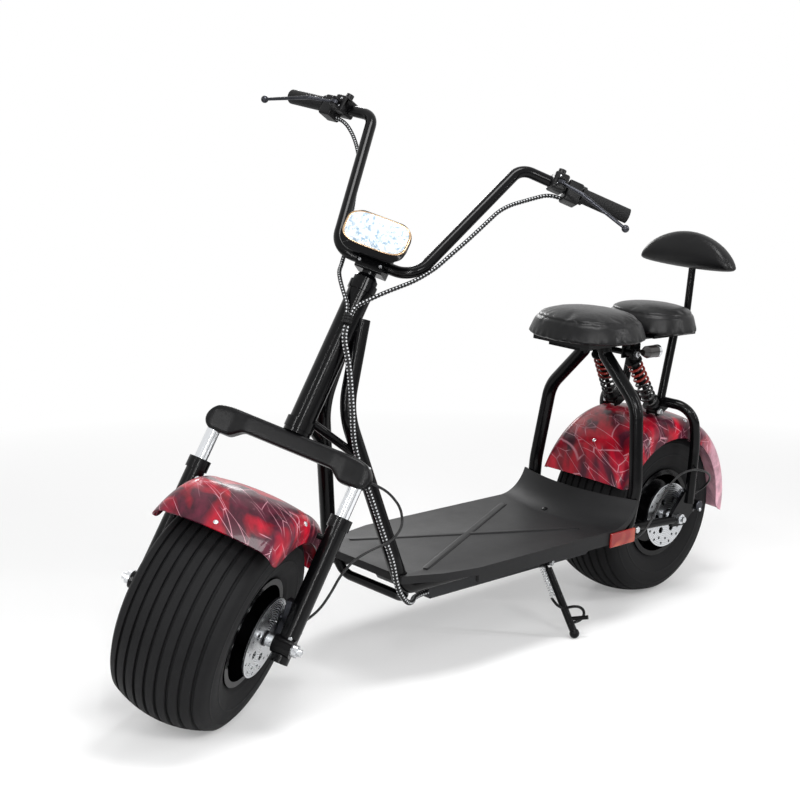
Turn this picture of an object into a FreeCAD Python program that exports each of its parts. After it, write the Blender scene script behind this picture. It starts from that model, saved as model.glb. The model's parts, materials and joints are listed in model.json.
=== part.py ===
import FreeCAD, Part
import json
import math
import os
import Sketcher
from FreeCAD import Placement, Rotation, Vector

# Electric chopper scooter: two fat tyres in line, tall handlebar, low deck over a battery
# box, two seats and a backrest. Millimetres, X forward, Y left, Z up, ground at Z = 0.
# It is stored as it parks: steering turned to its left stop, leaning left on its side stand.
os.makedirs("parts", exist_ok=True)
document = FreeCAD.newDocument("Scooter")

# Driving dimensions: name, value, what it measures
DRIVING = [
    ("frame_span", 905, "between the two tyres, front to rear, steering straight"),
    ("wheel_radius", 227.5, "outer radius of both tyres, also the radius of their round crown"),
    ("tyre_half", 111, "half the width of a tyre at its widest"),
    ("crown_half", 98, "half the width of the round crown"),
    ("rim_seat", 108, "radius of the rim barrel that the tyre sits on"),
    ("rim_half", 98, "half the width of the rim"),
    ("flange_height", 8, "height of the rim flange over its seat"),
    ("axle_radius", 7.5, "both axles"),
    ("hub_radius", 38, "front hub"),
    ("motor_radius", 84, "hub motor in the rear wheel"),
    ("disc_radius", 85, "brake discs"),
    ("disc_thick", 4, "brake discs"),
    ("disc_offset", 120, "brake disc left of the wheel's middle"),
    ("rake", 29, "lean of the steering axis from the vertical, degrees"),
    ("steer_stop", 31, "steering angle at each stop, degrees"),
    ("fork_offset", 18, "front axle ahead of the steering axis"),
    ("parked_lean", 4, "lean to the left on the side stand, degrees"),
    ("leg_half", 163, "fork legs, left and right of the middle"),
    ("leg_ahead", 6, "fork legs ahead of the steering axis"),
    ("leg_radius", 20, "lower fork leg"),
    ("leg_top", 277, "top of the lower leg over the axle"),
    ("stanchion_radius", 14, "chrome fork tube"),
    ("bridge_bottom", 340, "underside of the fork bridge"),
    ("bridge_height", 60, "depth of the fork bridge beam"),
    ("head_radius", 27, "head tube"),
    ("head_below", 51, "top of the head tube under the handlebar's middle, along the axis"),
    ("stem_radius", 15, "steering stem in the head tube"),
    ("bar_radius", 12.5, "handlebar tube"),
    ("bar_height", 795, "middle of the handlebar over the axle, along the steering axis"),
    ("grip_radius", 17, "rubber grip"),
    ("grip_length", 118, "rubber grip"),
    ("lamp_width", 150, "headlamp housing"),
    ("lamp_height", 88, "headlamp housing"),
    ("lamp_depth", 40, "headlamp housing"),
    ("lamp_over", 39, "middle of the headlamp over the handlebar's middle, along the axis"),
    ("guard_gap", 36.5, "outside of both mudguards over the tyre's crown"),
    ("guard_half", 131, "half the width of both mudguards"),
    ("guard_skirt", 21.5, "lower edge of the mudguard's sides inside the tyre's crown"),
    ("guard_thick", 3, "mudguard sheet"),
    ("tube_radius", 17, "main frame tubes"),
    ("rail_half", 112, "frame rails, left and right of the middle"),
    ("rail_height", 222, "middle of the frame rails"),
    ("deck_ahead", 50, "front edge of the deck tray ahead of the rails"),
    ("deck_half", 188, "half the width of the deck tray"),
    ("deck_over", 35, "standing surface of the deck tray over the rails' middle"),
    ("deck_rise", 62, "how far the tray sweeps up in front of the seat tubes"),
    ("box_back", 73, "front of the battery box behind the rails' front"),
    ("box_clear", 5, "battery box ahead of the rear mudguard"),
    ("box_half", 92, "half the width of the battery box"),
    ("box_below", 57, "underside of the battery box under the rails' middle"),
    ("seat_length", 284, "front seat pad"),
    ("seat_half", 152, "half the width of the front seat pad"),
    ("seat_middle", 236, "middle of the front seat pad"),
    ("seat_over", 245, "underside of both seat pads over the rear tyre"),
    ("seat_thick", 76, "both seat pads at the crown"),
    ("rear_seat_length", 222, "rear seat pad"),
    ("rear_seat_half", 126, "half the width of the rear seat pad"),
    ("hoop_radius", 13, "hoop tube over the rear wheel"),
    ("hoop_half", 158, "foot of the hoop, left and right of the middle"),
    ("hoop_over", 28.5, "middle of the hoop tube over the mudguard"),
    ("spring_radius", 17, "middle of the spring wire, from the damper's axis"),
    ("wire_radius", 3.2, "spring wire"),
    ("backrest_width", 300, "backrest pad"),
    ("backrest_over", 153, "lower edge of the backrest pad over the seats' underside"),
    ("backrest_height", 98, "backrest pad"),
    ("stand_radius", 9, "side stand leg"),
    ("run_gap", 0.05, "radial running clearance of a shaft in its bore"),
    ("seat_gap", 0.3, "clearance between curved pieces that rest on each other"),
]

sheet = document.addObject("Spreadsheet::Sheet", "Sizes")
for row, (alias, value, note) in enumerate(DRIVING, 1):
    sheet.set(f"A{row}", note)
    sheet.set(f"B{row}", str(value))
    sheet.setAlias(f"B{row}", alias)
document.recompute()


def formulaOf(number):
    return number.formula if isinstance(number, Size) else repr(float(number))


class Size(float):
    """A number that keeps the sheet formula it came from, so that a model size can be bound to it"""

    def __new__(cls, value, formula):
        size = float.__new__(cls, value)
        size.formula = formula
        return size

    def __add__(self, other):
        return Size(float(self) + float(other), f"({self.formula} + {formulaOf(other)})")

    def __radd__(self, other):
        return Size(float(other) + float(self), f"({formulaOf(other)} + {self.formula})")

    def __sub__(self, other):
        return Size(float(self) - float(other), f"({self.formula} - {formulaOf(other)})")

    def __rsub__(self, other):
        return Size(float(other) - float(self), f"({formulaOf(other)} - {self.formula})")

    def __mul__(self, other):
        return Size(float(self) * float(other), f"({self.formula} * {formulaOf(other)})")

    def __rmul__(self, other):
        return Size(float(other) * float(self), f"({formulaOf(other)} * {self.formula})")

    def __truediv__(self, other):
        return Size(float(self) / float(other), f"({self.formula} / {formulaOf(other)})")

    def __neg__(self):
        return Size(-float(self), f"(-{self.formula})")


class Sizes:
    """The sheet's values by name"""

    def __getattr__(self, alias):
        return Size(float(getattr(sheet, alias)), f"Sizes.{alias}")


d = Sizes()


def bind(thing, prop, value):
    """Set a size, and tie it to the sheet when it comes from there"""
    setattr(thing, prop, float(value))
    if isinstance(value, Size):
        thing.setExpression(prop, value.formula)


# Frames of reference
def turn(axis, degrees):
    return Placement(Vector(0, 0, 0), Rotation(axis, degrees))


def shift(x, y, z):
    return Placement(Vector(x, y, z), Rotation())


X_AXIS, Y_AXIS, Z_AXIS = Vector(1, 0, 0), Vector(0, 1, 0), Vector(0, 0, 1)
rakeAngle = math.radians(d.rake)
forward = Vector(math.cos(rakeAngle), 0, math.sin(rakeAngle))
upward = Vector(-math.sin(rakeAngle), 0, math.cos(rakeAngle))
wheelBase = d.frame_span + 2 * d.wheel_radius
frontAxle = Vector(wheelBase, 0, d.wheel_radius)
steeringFoot = frontAxle - forward * float(d.fork_offset)

# The steering group is drawn about its own axis: X ahead of it, Z up along it, zero at the axle
straight = Placement(steeringFoot, Rotation(Y_AXIS, -d.rake))
steered = straight.multiply(turn(Z_AXIS, d.steer_stop))
rearHub = shift(0, 0, d.wheel_radius)


def parkedPose():
    """Lean left, then nose up by the little that the turned fork drops, then down to the floor"""
    lean = turn(X_AXIS, -d.parked_lean)
    rear = lean.multVec(Vector(0, 0, d.wheel_radius))
    front = lean.multVec(steered.multVec(Vector(d.fork_offset, 0, 0)))
    pitch = math.degrees(math.asin((front.z - rear.z) / (front - rear).Length))
    pose = turn(Y_AXIS, pitch).multiply(lean)
    drop = pose.multVec(Vector(0, 0, d.wheel_radius)).z - d.wheel_radius
    return shift(0, 0, -drop).multiply(pose)


parked = parkedPose()

# The frame's own numbers are drawn for this tyre; a larger one lifts the frame and pushes it ahead
DRAWN_TYRE = 227.5
ride = d.wheel_radius - DRAWN_TYRE
chassis = parked.multiply(shift(ride, 0, ride))
rearPlace = parked.multiply(rearHub)
frameFoot = steeringFoot - Vector(ride, 0, ride)
guardRadius = d.wheel_radius + d.guard_gap
guardEdge = d.wheel_radius - d.guard_skirt
standPivot = Vector(461, 110, d.rail_height - 34)
standAim = Vector(-30, 90, -176).normalize()
STAND_TOE = 25.0


def standLength():
    """Leg length that rests the foot's ball on the floor in the parked pose"""
    footRadius = float(d.stand_radius) + 3
    start = chassis.multVec(standPivot)
    slope = chassis.Rotation.multVec(standAim).z
    return (footRadius - start.z) / slope


# Shape helpers
def vectors(points):
    return [Vector(*point) for point in points]


def mirrored(points):
    return [(x, -y, z) for x, y, z in points]


def roundedPath(points, radii):
    """Straight runs joined by tangent arcs; radii holds one bend radius per inner point"""
    corners = vectors(points)
    edges = []
    start = corners[0]
    for corner, following, radius in zip(corners[1:-1], corners[2:], radii):
        inward = (corner - start).normalize()
        outward = (following - corner).normalize()
        angle = inward.getAngle(outward)
        reach = radius * math.tan(angle / 2)
        first = corner - inward * reach
        last = corner + outward * reach
        middle = (outward - inward).normalize()
        depth = radius * (1 / math.cos(angle / 2) - 1)
        if (first - start).Length > 0.01:
            edges.append(Part.LineSegment(start, first).toShape())
        edges.append(Part.Arc(first, corner + middle * depth, last).toShape())
        start = last
    edges.append(Part.LineSegment(start, corners[-1]).toShape())
    return Part.Wire(edges)


def tubeShape(points, radii, radius):
    """A round bar along a bent path, checked by section times length"""
    path = roundedPath(points, radii)
    corners = vectors(points)
    section = Part.Wire(Part.makeCircle(radius, corners[0], corners[1] - corners[0]))
    solid = path.makePipeShell([section], True, False)
    expected = math.pi * radius ** 2 * path.Length
    if abs(solid.Volume - expected) > 0.01 * expected:
        raise ValueError(f"tube volume {solid.Volume:.0f} differs from {expected:.0f}")
    return solid


def barShape(start, end, radius):
    start, end = Vector(*start), Vector(*end)
    return Part.makeCylinder(radius, (end - start).Length, start, end - start)


def boxShape(low, high):
    return Part.makeBox(high[0] - low[0], high[1] - low[1], high[2] - low[2], Vector(*low))


def plateShape(outline, thickness):
    """A flat plate: a closed outline in space, thickened along the given vector"""
    corners = vectors(outline)
    return Part.Face(Part.makePolygon(corners + corners[:1])).extrude(Vector(*thickness))


def both(shape):
    """The shape and its mirror image on the other side of the scooter"""
    return [shape, shape.mirror(Vector(0, 0, 0), Y_AXIS)]


def joined(shapes):
    return shapes[0].fuse(shapes[1:]).removeSplitter()


nodes = []


def addNode(thing, label, place):
    thing.Label = label
    thing.Placement = place
    nodes.append(thing)
    return thing


def feature(label, place, shape):
    """A piece whose form is set from the sheet's values by Part's own operations"""
    thing = document.addObject("Part::Feature", label)
    thing.Shape = shape
    return addNode(thing, label, place)


# Sketch helpers
def newSketch(body, plane, name):
    sketch = body.newObject("Sketcher::SketchObject", name)
    face = [part for part in body.Origin.OriginFeatures if part.Role == plane][0]
    sketch.AttachmentSupport = [(face, "")]
    sketch.MapMode = "FlatFace"
    return sketch


def fix(sketch, kind, *where):
    """Add one constraint, tied to the sheet when its value comes from there"""
    value = where[-1]
    index = sketch.addConstraint(Sketcher.Constraint(kind, *where[:-1], float(value)))
    if isinstance(value, Size):
        sketch.setExpression(f"Constraints[{index}]", value.formula)


def outline(sketch, corners):
    """A closed outline of straight sides with each corner fixed"""
    count = len(corners)
    for index, (x, y) in enumerate(corners):
        ahead = corners[(index + 1) % count]
        sketch.addGeometry(Part.LineSegment(Vector(x, y, 0), Vector(ahead[0], ahead[1], 0)))
    for index in range(count):
        sketch.addConstraint(Sketcher.Constraint("Coincident", index, 2, (index + 1) % count, 1))
    for index, (x, y) in enumerate(corners):
        fix(sketch, "DistanceX", -1, 1, index, 1, x)
        fix(sketch, "DistanceY", -1, 1, index, 1, y)


def circle(sketch, x, y, radius):
    index = sketch.addGeometry(Part.Circle(Vector(x, y, 0), Z_AXIS, radius))
    fix(sketch, "DistanceX", -1, 1, index, 3, x)
    fix(sketch, "DistanceY", -1, 1, index, 3, y)
    fix(sketch, "Radius", index, radius)


def newBody(label):
    return document.addObject("PartDesign::Body", label)


def axisOf(body, role):
    return [part for part in body.Origin.OriginFeatures if part.Role == role][0]


def revolved(body, corners, name):
    """A turned piece: an outline of (along the axle, radius) swept about the Y axis"""
    sketch = newSketch(body, "YZ_Plane", name + "_profile")
    outline(sketch, corners)
    turned = body.newObject("PartDesign::Revolution", name)
    turned.Profile = sketch
    turned.ReferenceAxis = (axisOf(body, "Y_Axis"), [""])
    turned.Angle = 360
    document.recompute()
    return turned


def symmetricPad(body, sketch, length, name):
    pad = body.newObject("PartDesign::Pad", name)
    pad.Profile = sketch
    pad.SideType = "Symmetric"
    bind(pad, "Length", length)
    document.recompute()
    return pad


def roundEdges(body, base, radius, name, wanted):
    """Fillet the edges of the last feature that the test picks"""
    names = [f"Edge{i + 1}" for i, edge in enumerate(base.Shape.Edges) if wanted(edge)]
    rounded = body.newObject("PartDesign::Fillet", name)
    rounded.Base = (base, names)
    bind(rounded, "Radius", radius)
    document.recompute()
    return rounded


# Wheels
def makeTyre(label, place):
    """Round crown about the wheel's middle, so the tyre touches the floor right under its hub"""
    body = newBody(label)
    crownFall = math.sqrt(d.wheel_radius ** 2 - d.crown_half ** 2)
    belly = (d.wheel_radius + d.rim_seat) / 2
    corners = [
        (-d.crown_half, crownFall),
        (d.crown_half, crownFall),
        (d.tyre_half, belly + 12),
        (d.tyre_half, belly - 14),
        (d.rim_half - 7, d.rim_seat + 10),
        (d.rim_half - 7, d.rim_seat + d.run_gap),
        (-(d.rim_half - 7), d.rim_seat + d.run_gap),
        (-(d.rim_half - 7), d.rim_seat + 10),
        (-d.tyre_half, belly - 14),
        (-d.tyre_half, belly + 12),
    ]
    sketch = newSketch(body, "YZ_Plane", label + "_profile")
    crownOutline(sketch, corners)
    turned = body.newObject("PartDesign::Revolution", label + "_turned")
    turned.Profile = sketch
    turned.ReferenceAxis = (axisOf(body, "Y_Axis"), [""])
    turned.Angle = 360
    document.recompute()

    def atBelly(edge):
        middle = edge.BoundBox
        atSide = abs(abs(middle.Center.y) - d.tyre_half) < 0.5
        return atSide and middle.YLength < 0.5 and middle.ZLength > 50

    roundEdges(body, turned, 12.0, label + "_belly", atBelly)
    return addNode(body, label, place)


def crownOutline(sketch, corners):
    """Closed outline whose first side is an arc about the origin and whose others are straight"""
    count = len(corners)
    first, second = corners[0], corners[1]
    radius = math.hypot(first[0], first[1])
    startAngle = math.atan2(second[1], second[0])
    endAngle = math.atan2(first[1], first[0])
    base = Part.Circle(Vector(0, 0, 0), Z_AXIS, radius)
    sketch.addGeometry(Part.ArcOfCircle(base, startAngle, endAngle))
    for index in range(1, count):
        start, end = corners[index], corners[(index + 1) % count]
        sketch.addGeometry(Part.LineSegment(Vector(start[0], start[1], 0), Vector(end[0], end[1], 0)))
    # The arc runs from the second corner back to the first
    sketch.addConstraint(Sketcher.Constraint("Coincident", 0, 1, 1, 1))
    sketch.addConstraint(Sketcher.Constraint("Coincident", 0, 2, count - 1, 2))
    for index in range(1, count - 1):
        sketch.addConstraint(Sketcher.Constraint("Coincident", index, 2, index + 1, 1))
    sketch.addConstraint(Sketcher.Constraint("Coincident", 0, 3, -1, 1))
    fix(sketch, "Radius", 0, d.wheel_radius)
    fix(sketch, "DistanceX", -1, 1, 0, 1, second[0])
    fix(sketch, "DistanceX", -1, 1, 0, 2, first[0])
    for index in range(2, count):
        fix(sketch, "DistanceX", -1, 1, index, 1, corners[index][0])
        fix(sketch, "DistanceY", -1, 1, index, 1, corners[index][1])


def makeRim(label, place, coreRadius, coreLeft, coreRight, webThick):
    """Turned rim: barrel with two flanges, a web, and a hub or hub motor with the disc's seat"""
    body = newBody(label)
    seat = d.rim_seat
    flange = d.rim_seat + d.flange_height
    inner = d.rim_seat - 5
    half = d.rim_half
    webHalf = webThick / 2
    discSeat = d.disc_offset - d.disc_thick / 2
    bore = d.axle_radius + d.run_gap
    corners = [
        (-half, flange), (-(half - 5), flange), (-(half - 7), seat), (half - 7, seat),
        (half - 5, flange), (half, flange), (half, inner),
        (webHalf, inner - 6), (webHalf, coreRadius + 6), (coreLeft, coreRadius),
        (coreLeft, 34.0), (discSeat, 34.0), (discSeat, 16.0), (discSeat + 8, 16.0), (discSeat + 8, bore),
        (-coreRight, bore), (-coreRight, coreRadius - 8), (-(coreRight - 8), coreRadius),
        (-webHalf, coreRadius + 6), (-webHalf, inner - 6), (-half, inner),
    ]
    revolved(body, corners, label + "_turned")
    return addNode(body, label, place)


def makeDisc(label, place):
    """Drilled brake disc on the hub's left shoulder"""
    body = newBody(label)
    sketch = newSketch(body, "XZ_Plane", label + "_profile")
    circle(sketch, 0, 0, d.disc_radius)
    circle(sketch, 0, 0, 16 + d.run_gap)
    symmetricPad(body, sketch, d.disc_thick, label + "_plate")
    # Rings of holes: radius of the ring, hole radius, holes, first angle
    rings = [(d.disc_radius - 9, 3.6, 14, 0.0), (d.disc_radius - 21, 3.6, 14, 12.86), (44.0, 8.5, 6, 0.0)]
    for number, (ring, hole, count, angle) in enumerate(rings, 1):
        drill = newSketch(body, "XZ_Plane", f"{label}_hole_{number}")
        circle(drill, ring * math.cos(math.radians(angle)), ring * math.sin(math.radians(angle)), hole)
        cut = body.newObject("PartDesign::Pocket", f"{label}_drill_{number}")
        cut.Profile = drill
        cut.SideType = "Symmetric"
        cut.Length = 4 * float(d.disc_thick)
        pattern = body.newObject("PartDesign::PolarPattern", f"{label}_ring_{number}")
        pattern.Originals = [cut]
        pattern.Axis = (axisOf(body, "Y_Axis"), [""])
        pattern.Angle = 360
        pattern.Occurrences = count
        body.Tip = pattern
        document.recompute()
    return addNode(body, label, place.multiply(shift(0, d.disc_offset, 0)))


frontHub = steered.multiply(shift(d.fork_offset, 0, 0))
makeTyre("front_tyre", parked.multiply(frontHub))
makeRim("front_rim", parked.multiply(frontHub), d.hub_radius, 62.0, 66.0, 12.0)
makeDisc("front_disc", parked.multiply(frontHub))
makeTyre("rear_tyre", rearPlace)
makeRim("rear_rim", rearPlace, d.motor_radius, 70.0, 74.0, 30.0)
makeDisc("rear_disc", rearPlace)


# Axles: turned pieces with the spacers and nuts that hold the wheel between its carriers
def makeAxle(label, place, face, plate, leftSpacer, rightSpacer):
    body = newBody(label)
    nut = face + plate
    end = nut + 20
    shaft = d.axle_radius
    corners = [
        (-end, 0.0), (-end, shaft), (-(nut + 11), shaft), (-(nut + 11), 13.0), (-nut - d.seat_gap, 13.0),
        (-nut - d.seat_gap, shaft), (-(face - d.seat_gap), shaft), (-(face - d.seat_gap), 13.0),
        (-rightSpacer, 13.0), (-rightSpacer, shaft), (leftSpacer, shaft), (leftSpacer, 13.0),
        (face - d.seat_gap, 13.0), (face - d.seat_gap, shaft), (nut + d.seat_gap, shaft),
        (nut + d.seat_gap, 13.0), (nut + 11, 13.0), (nut + 11, shaft), (end, shaft), (end, 0.0),
    ]
    revolved(body, corners, label + "_turned")
    return addNode(body, label, place)


hubEnd = d.disc_offset - d.disc_thick / 2 + 8
LUG_HALF = 20.5
lugInner = d.leg_half - LUG_HALF
makeAxle("front_axle", parked.multiply(frontHub), lugInner, Size(2 * LUG_HALF, "41.0"), hubEnd + 0.5, 66.5)
plateInner = d.hoop_half - 10
makeAxle("rear_axle", rearPlace, plateInner, Size(10, "10.0"), hubEnd + 0.5, 74.5)


# Fork
def makeForkLowers():
    top, radius = float(d.leg_top), float(d.leg_radius)
    ahead, side = float(d.leg_ahead), float(d.leg_half)
    leg = Part.makeCylinder(radius, top + 34, Vector(ahead, side, -34))
    collar = Part.makeCylinder(radius + 3.5, 24, Vector(ahead, side, top - 24))
    lug = Part.makeCylinder(19, 2 * LUG_HALF, Vector(d.fork_offset, side - LUG_HALF, 0), Y_AXIS)
    tabHeight = guardEdge + 20
    tabFoot = Vector(ahead, d.guard_half + d.seat_gap, tabHeight)
    tab = Part.makeCylinder(6, side - radius - d.guard_half + 1.5, tabFoot, Y_AXIS)
    solid = joined([leg, collar, lug, tab])
    boreDepth = top - 205
    bore = Part.makeCylinder(d.stanchion_radius + d.run_gap, boreDepth, Vector(ahead, side, 205))
    axleBore = Part.makeCylinder(d.axle_radius + d.run_gap, 60, Vector(d.fork_offset, side - 30, 0), Y_AXIS)
    solid = solid.cut([bore, axleBore])
    return Part.makeCompound(both(solid))


steeringPlace = parked.multiply(steered)
feature("fork_lowers", steeringPlace, makeForkLowers())


def makeStanchions():
    top = d.bridge_bottom + d.bridge_height - 8
    tube = Part.makeCylinder(d.stanchion_radius, top - 206, Vector(d.leg_ahead, d.leg_half, 206))
    return Part.makeCompound(both(tube))


feature("fork_stanchions", steeringPlace, makeStanchions())


def makeBridge():
    """Deep beam with round ends that clamps both fork tubes and carries the steering stem"""
    body = newBody("fork_bridge")
    low, high = d.bridge_bottom, d.bridge_bottom + d.bridge_height
    end = d.leg_half + 25
    half = [(end, low), (end, high - 24), (d.leg_half - 6, high), (d.leg_half - 26, low),
            (d.leg_half - 48, low + 10)]
    corners = [half[0], half[1], half[2], (-half[2][0], half[2][1]), (-end, high - 24), (-end, low),
               (-half[3][0], low), (-half[4][0], low + 10), half[4], half[3]]
    sketch = newSketch(body, "YZ_Plane", "bridge_profile")
    outline(sketch, corners)
    beam = symmetricPad(body, sketch, Size(40, "40.0"), "bridge_beam")

    def atEnd(edge):
        box = edge.BoundBox
        upright = box.ZLength > 20 and box.XLength < 0.1 and box.YLength < 0.1
        return upright and abs(box.Center.y) > d.leg_half

    beam = roundEdges(body, beam, 18.0, "bridge_ends", atEnd)
    holes = newSketch(body, "XY_Plane", "bridge_socket_profile")
    circle(holes, 0, d.leg_half, d.stanchion_radius + d.run_gap)
    circle(holes, 0, -d.leg_half, d.stanchion_radius + d.run_gap)
    cut = body.newObject("PartDesign::Pocket", "bridge_sockets")
    cut.Profile = holes
    cut.SideType = "Symmetric"
    cut.Length = 2 * (float(high) - 8)
    cut.setExpression("Length", f"2 * ({(high - 8).formula})")
    document.recompute()
    return addNode(body, "fork_bridge", steeringPlace.multiply(shift(d.leg_ahead, 0, 0)))


makeBridge()
bridgeTop = d.bridge_bottom + d.bridge_height
headBottom = bridgeTop + 8
headTop = d.bar_height - d.head_below
headLength = headTop - headBottom
stemGap = 0.3


def makeStem():
    """Stem through the head tube with a bearing ring at each end and the column above"""
    start = float(bridgeTop)
    flangeTop = headBottom - stemGap
    lower = Part.makeCylinder(d.head_radius + 2, flangeTop - start, Vector(0, 0, start))
    stem = Part.makeCylinder(d.stem_radius, d.bar_height - 24 - start, Vector(0, 0, start))
    upper = Part.makeCylinder(d.head_radius - 1, 10, Vector(0, 0, headTop + stemGap))
    cone = Part.makeCone(d.head_radius - 1, d.stem_radius + 3, 10, Vector(0, 0, headTop + stemGap + 10))
    return joined([lower, stem, upper, cone])


feature("steering_stem", steeringPlace, makeStem())

# Handlebar: a straight middle, two risers and two swept ends
BAR_LOW_HALF = 92
BAR_BACK = -5
barTop = (-115.0, 180.0, float(d.bar_height) + 340)
barEnd = (-222.0, 417.0, float(d.bar_height) + 355)
barLow = (float(BAR_BACK), float(BAR_LOW_HALF), float(d.bar_height))


def onBar(distance):
    """A point and a direction on the left bar end, that far in from its tip"""
    tip, root = Vector(*barEnd), Vector(*barTop)
    along = (tip - root).normalize()
    return tip - along * distance, along


def makeHandlebar():
    points = mirrored([barEnd, barTop, barLow]) + [barLow, barTop, barEnd]
    return tubeShape(points, [42, 55, 55, 42], float(d.bar_radius))


feature("handlebar", steeringPlace, makeHandlebar())


def makeBarClamp():
    """Split block on top of the stem that grips the bar's middle"""
    height = float(d.bar_height)
    block = boxShape((BAR_BACK - 25, -31, height - 24), (BAR_BACK + 25, 31, height + 25))
    block = block.makeFillet(5, [edge for edge in block.Edges if edge.BoundBox.YLength > 50])
    bore = Part.makeCylinder(d.bar_radius + d.run_gap, 80, Vector(BAR_BACK, -40, height), Y_AXIS)
    split = boxShape((BAR_BACK - 30, -40, height - 0.8), (BAR_BACK + 30, 40, height + 0.8))
    lower = block.cut([bore, split])
    return Part.makeCompound(lower.Solids)


feature("bar_clamp", steeringPlace, makeBarClamp())


# Controls on the bar, as offsets inward from the grip's outer end
def sleeve(outer, inner, near, far):
    """A collar round the bar between two distances from its tip"""
    start, along = onBar(far)
    length = far - near
    outside = Part.makeCylinder(outer, length, start, along)
    inside = Part.makeCylinder(inner, length, start, along)
    return outside.cut(inside)


gripEnd = -4.0
gripInner = float(d.grip_length) + gripEnd


def makeGrips():
    bore = d.bar_radius + d.run_gap
    grip = sleeve(d.grip_radius, bore, 0.0, gripInner)
    start, along = onBar(-d.seat_gap)
    cap = Part.makeCylinder(d.grip_radius, 4, start, along)
    ring = Part.makeCylinder(d.grip_radius, d.seat_gap, onBar(0)[0], along).cut(
        Part.makeCylinder(bore, d.seat_gap, onBar(0)[0], along))
    collar = sleeve(d.grip_radius + 4, bore, gripInner - 8, gripInner)
    return Part.makeCompound(both(joined([grip, ring, cap, collar])))


feature("grips", steeringPlace, makeGrips())


def barFrame(distance):
    """Axes on the bar: along it outward, ahead of it and over it"""
    point, along = onBar(distance)
    over = (Vector(0, 0, 1) - along * along.z).normalize()
    ahead = along.cross(over)
    if ahead.x < 0:
        ahead = -ahead
    return point, along, ahead, over


def blockOnBar(distance, length, aheadRange, overRange, edge):
    """A rounded block round the bar, given by ranges ahead of it and over it"""
    point, along, ahead, over = barFrame(distance)
    corner = point - along * (length / 2) + ahead * aheadRange[0] + over * overRange[0]
    outlinePoints = [
        corner, corner + ahead * (aheadRange[1] - aheadRange[0]),
        corner + ahead * (aheadRange[1] - aheadRange[0]) + over * (overRange[1] - overRange[0]),
        corner + over * (overRange[1] - overRange[0]),
    ]
    block = Part.Face(Part.makePolygon(outlinePoints + outlinePoints[:1])).extrude(along * length)
    return block.makeFillet(edge, block.Edges) if edge else block


SWITCH_AT = gripInner + 20
SWITCH_LENGTH = 36
PERCH_AT = gripInner + 58
PERCH_LENGTH = 34


def barBore(distance, length):
    point, along = onBar(distance)
    return Part.makeCylinder(d.bar_radius + d.run_gap, length + 4, point - along * (length / 2 + 2), along)


def makeSwitches():
    """Control housings between grip and lever perch"""
    block = blockOnBar(SWITCH_AT, SWITCH_LENGTH, (-20, 22), (-30, 19), 5)
    return Part.makeCompound(both(block.cut(barBore(SWITCH_AT, SWITCH_LENGTH))))


feature("switch_housings", steeringPlace, makeSwitches())


LEVER_AHEAD = 40.0
LEVER_DROP = 4.0


def leverPoints():
    """Pivot and ball of the left brake lever"""
    point, along, ahead, over = barFrame(PERCH_AT)
    pivot = point + ahead * LEVER_AHEAD - over * LEVER_DROP
    return pivot, Vector(-136, 442, float(d.bar_height) + 298)


MIRROR_HOLE_RADIUS = 4.0
MIRROR_HOLE_LENGTH = 12.0


def mirrorSeat():
    point, along, ahead, over = barFrame(PERCH_AT)
    return point + over * 34 + ahead * 6, over


def makePerches():
    """Lever perches with the brake's fluid block and a threaded seat for a mirror"""
    point, along, ahead, over = barFrame(PERCH_AT)
    block = blockOnBar(PERCH_AT, PERCH_LENGTH, (-18, 30), (-17, 22), 5)
    seat, upwards = mirrorSeat()
    boss = Part.makeCylinder(9, 16, seat - upwards * 16, upwards)
    foot = seat - upwards * MIRROR_HOLE_LENGTH
    hole = Part.makeCylinder(MIRROR_HOLE_RADIUS, MIRROR_HOLE_LENGTH, foot, upwards)
    pivot, ball = leverPoints()
    ears = []
    for low in (-11, 6):
        ears.append(Part.makeCylinder(9, 5, pivot + over * low, over))
        heights = (low - LEVER_DROP, low + 5 - LEVER_DROP)
        ears.append(blockOnBar(PERCH_AT, 18, (24, LEVER_AHEAD), heights, 0))
    pin = Part.makeCylinder(3, 22, pivot - over * 11, over)
    solid = joined([block, boss, pin] + ears).cut([barBore(PERCH_AT, PERCH_LENGTH), hole])
    return Part.makeCompound(both(solid))


feature("lever_perches", steeringPlace, makePerches())


def makeLevers():
    """Brake levers: a tapered blade from its pivot eye to a ball at the tip"""
    point, along, ahead, over = barFrame(PERCH_AT)
    pivot, ball = leverPoints()
    reach = ball - pivot
    bend = pivot + reach * 0.30 + ahead * 16
    eye = Part.makeCylinder(9, 8, pivot - over * 4, over)
    first = Part.makeCone(3.0, 4.6, (bend - pivot).Length, pivot, bend - pivot)
    knee = Part.makeSphere(4.6, bend)
    second = Part.makeCone(4.6, 3.4, (ball - bend).Length, bend, ball - bend)
    tip = Part.makeSphere(8.5, ball)
    hole = Part.makeCylinder(3 + d.run_gap, 20, pivot - over * 10, over)
    return Part.makeCompound(both(joined([eye, first, knee, second, tip]).cut(hole)))


feature("brake_levers", steeringPlace, makeLevers())


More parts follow.
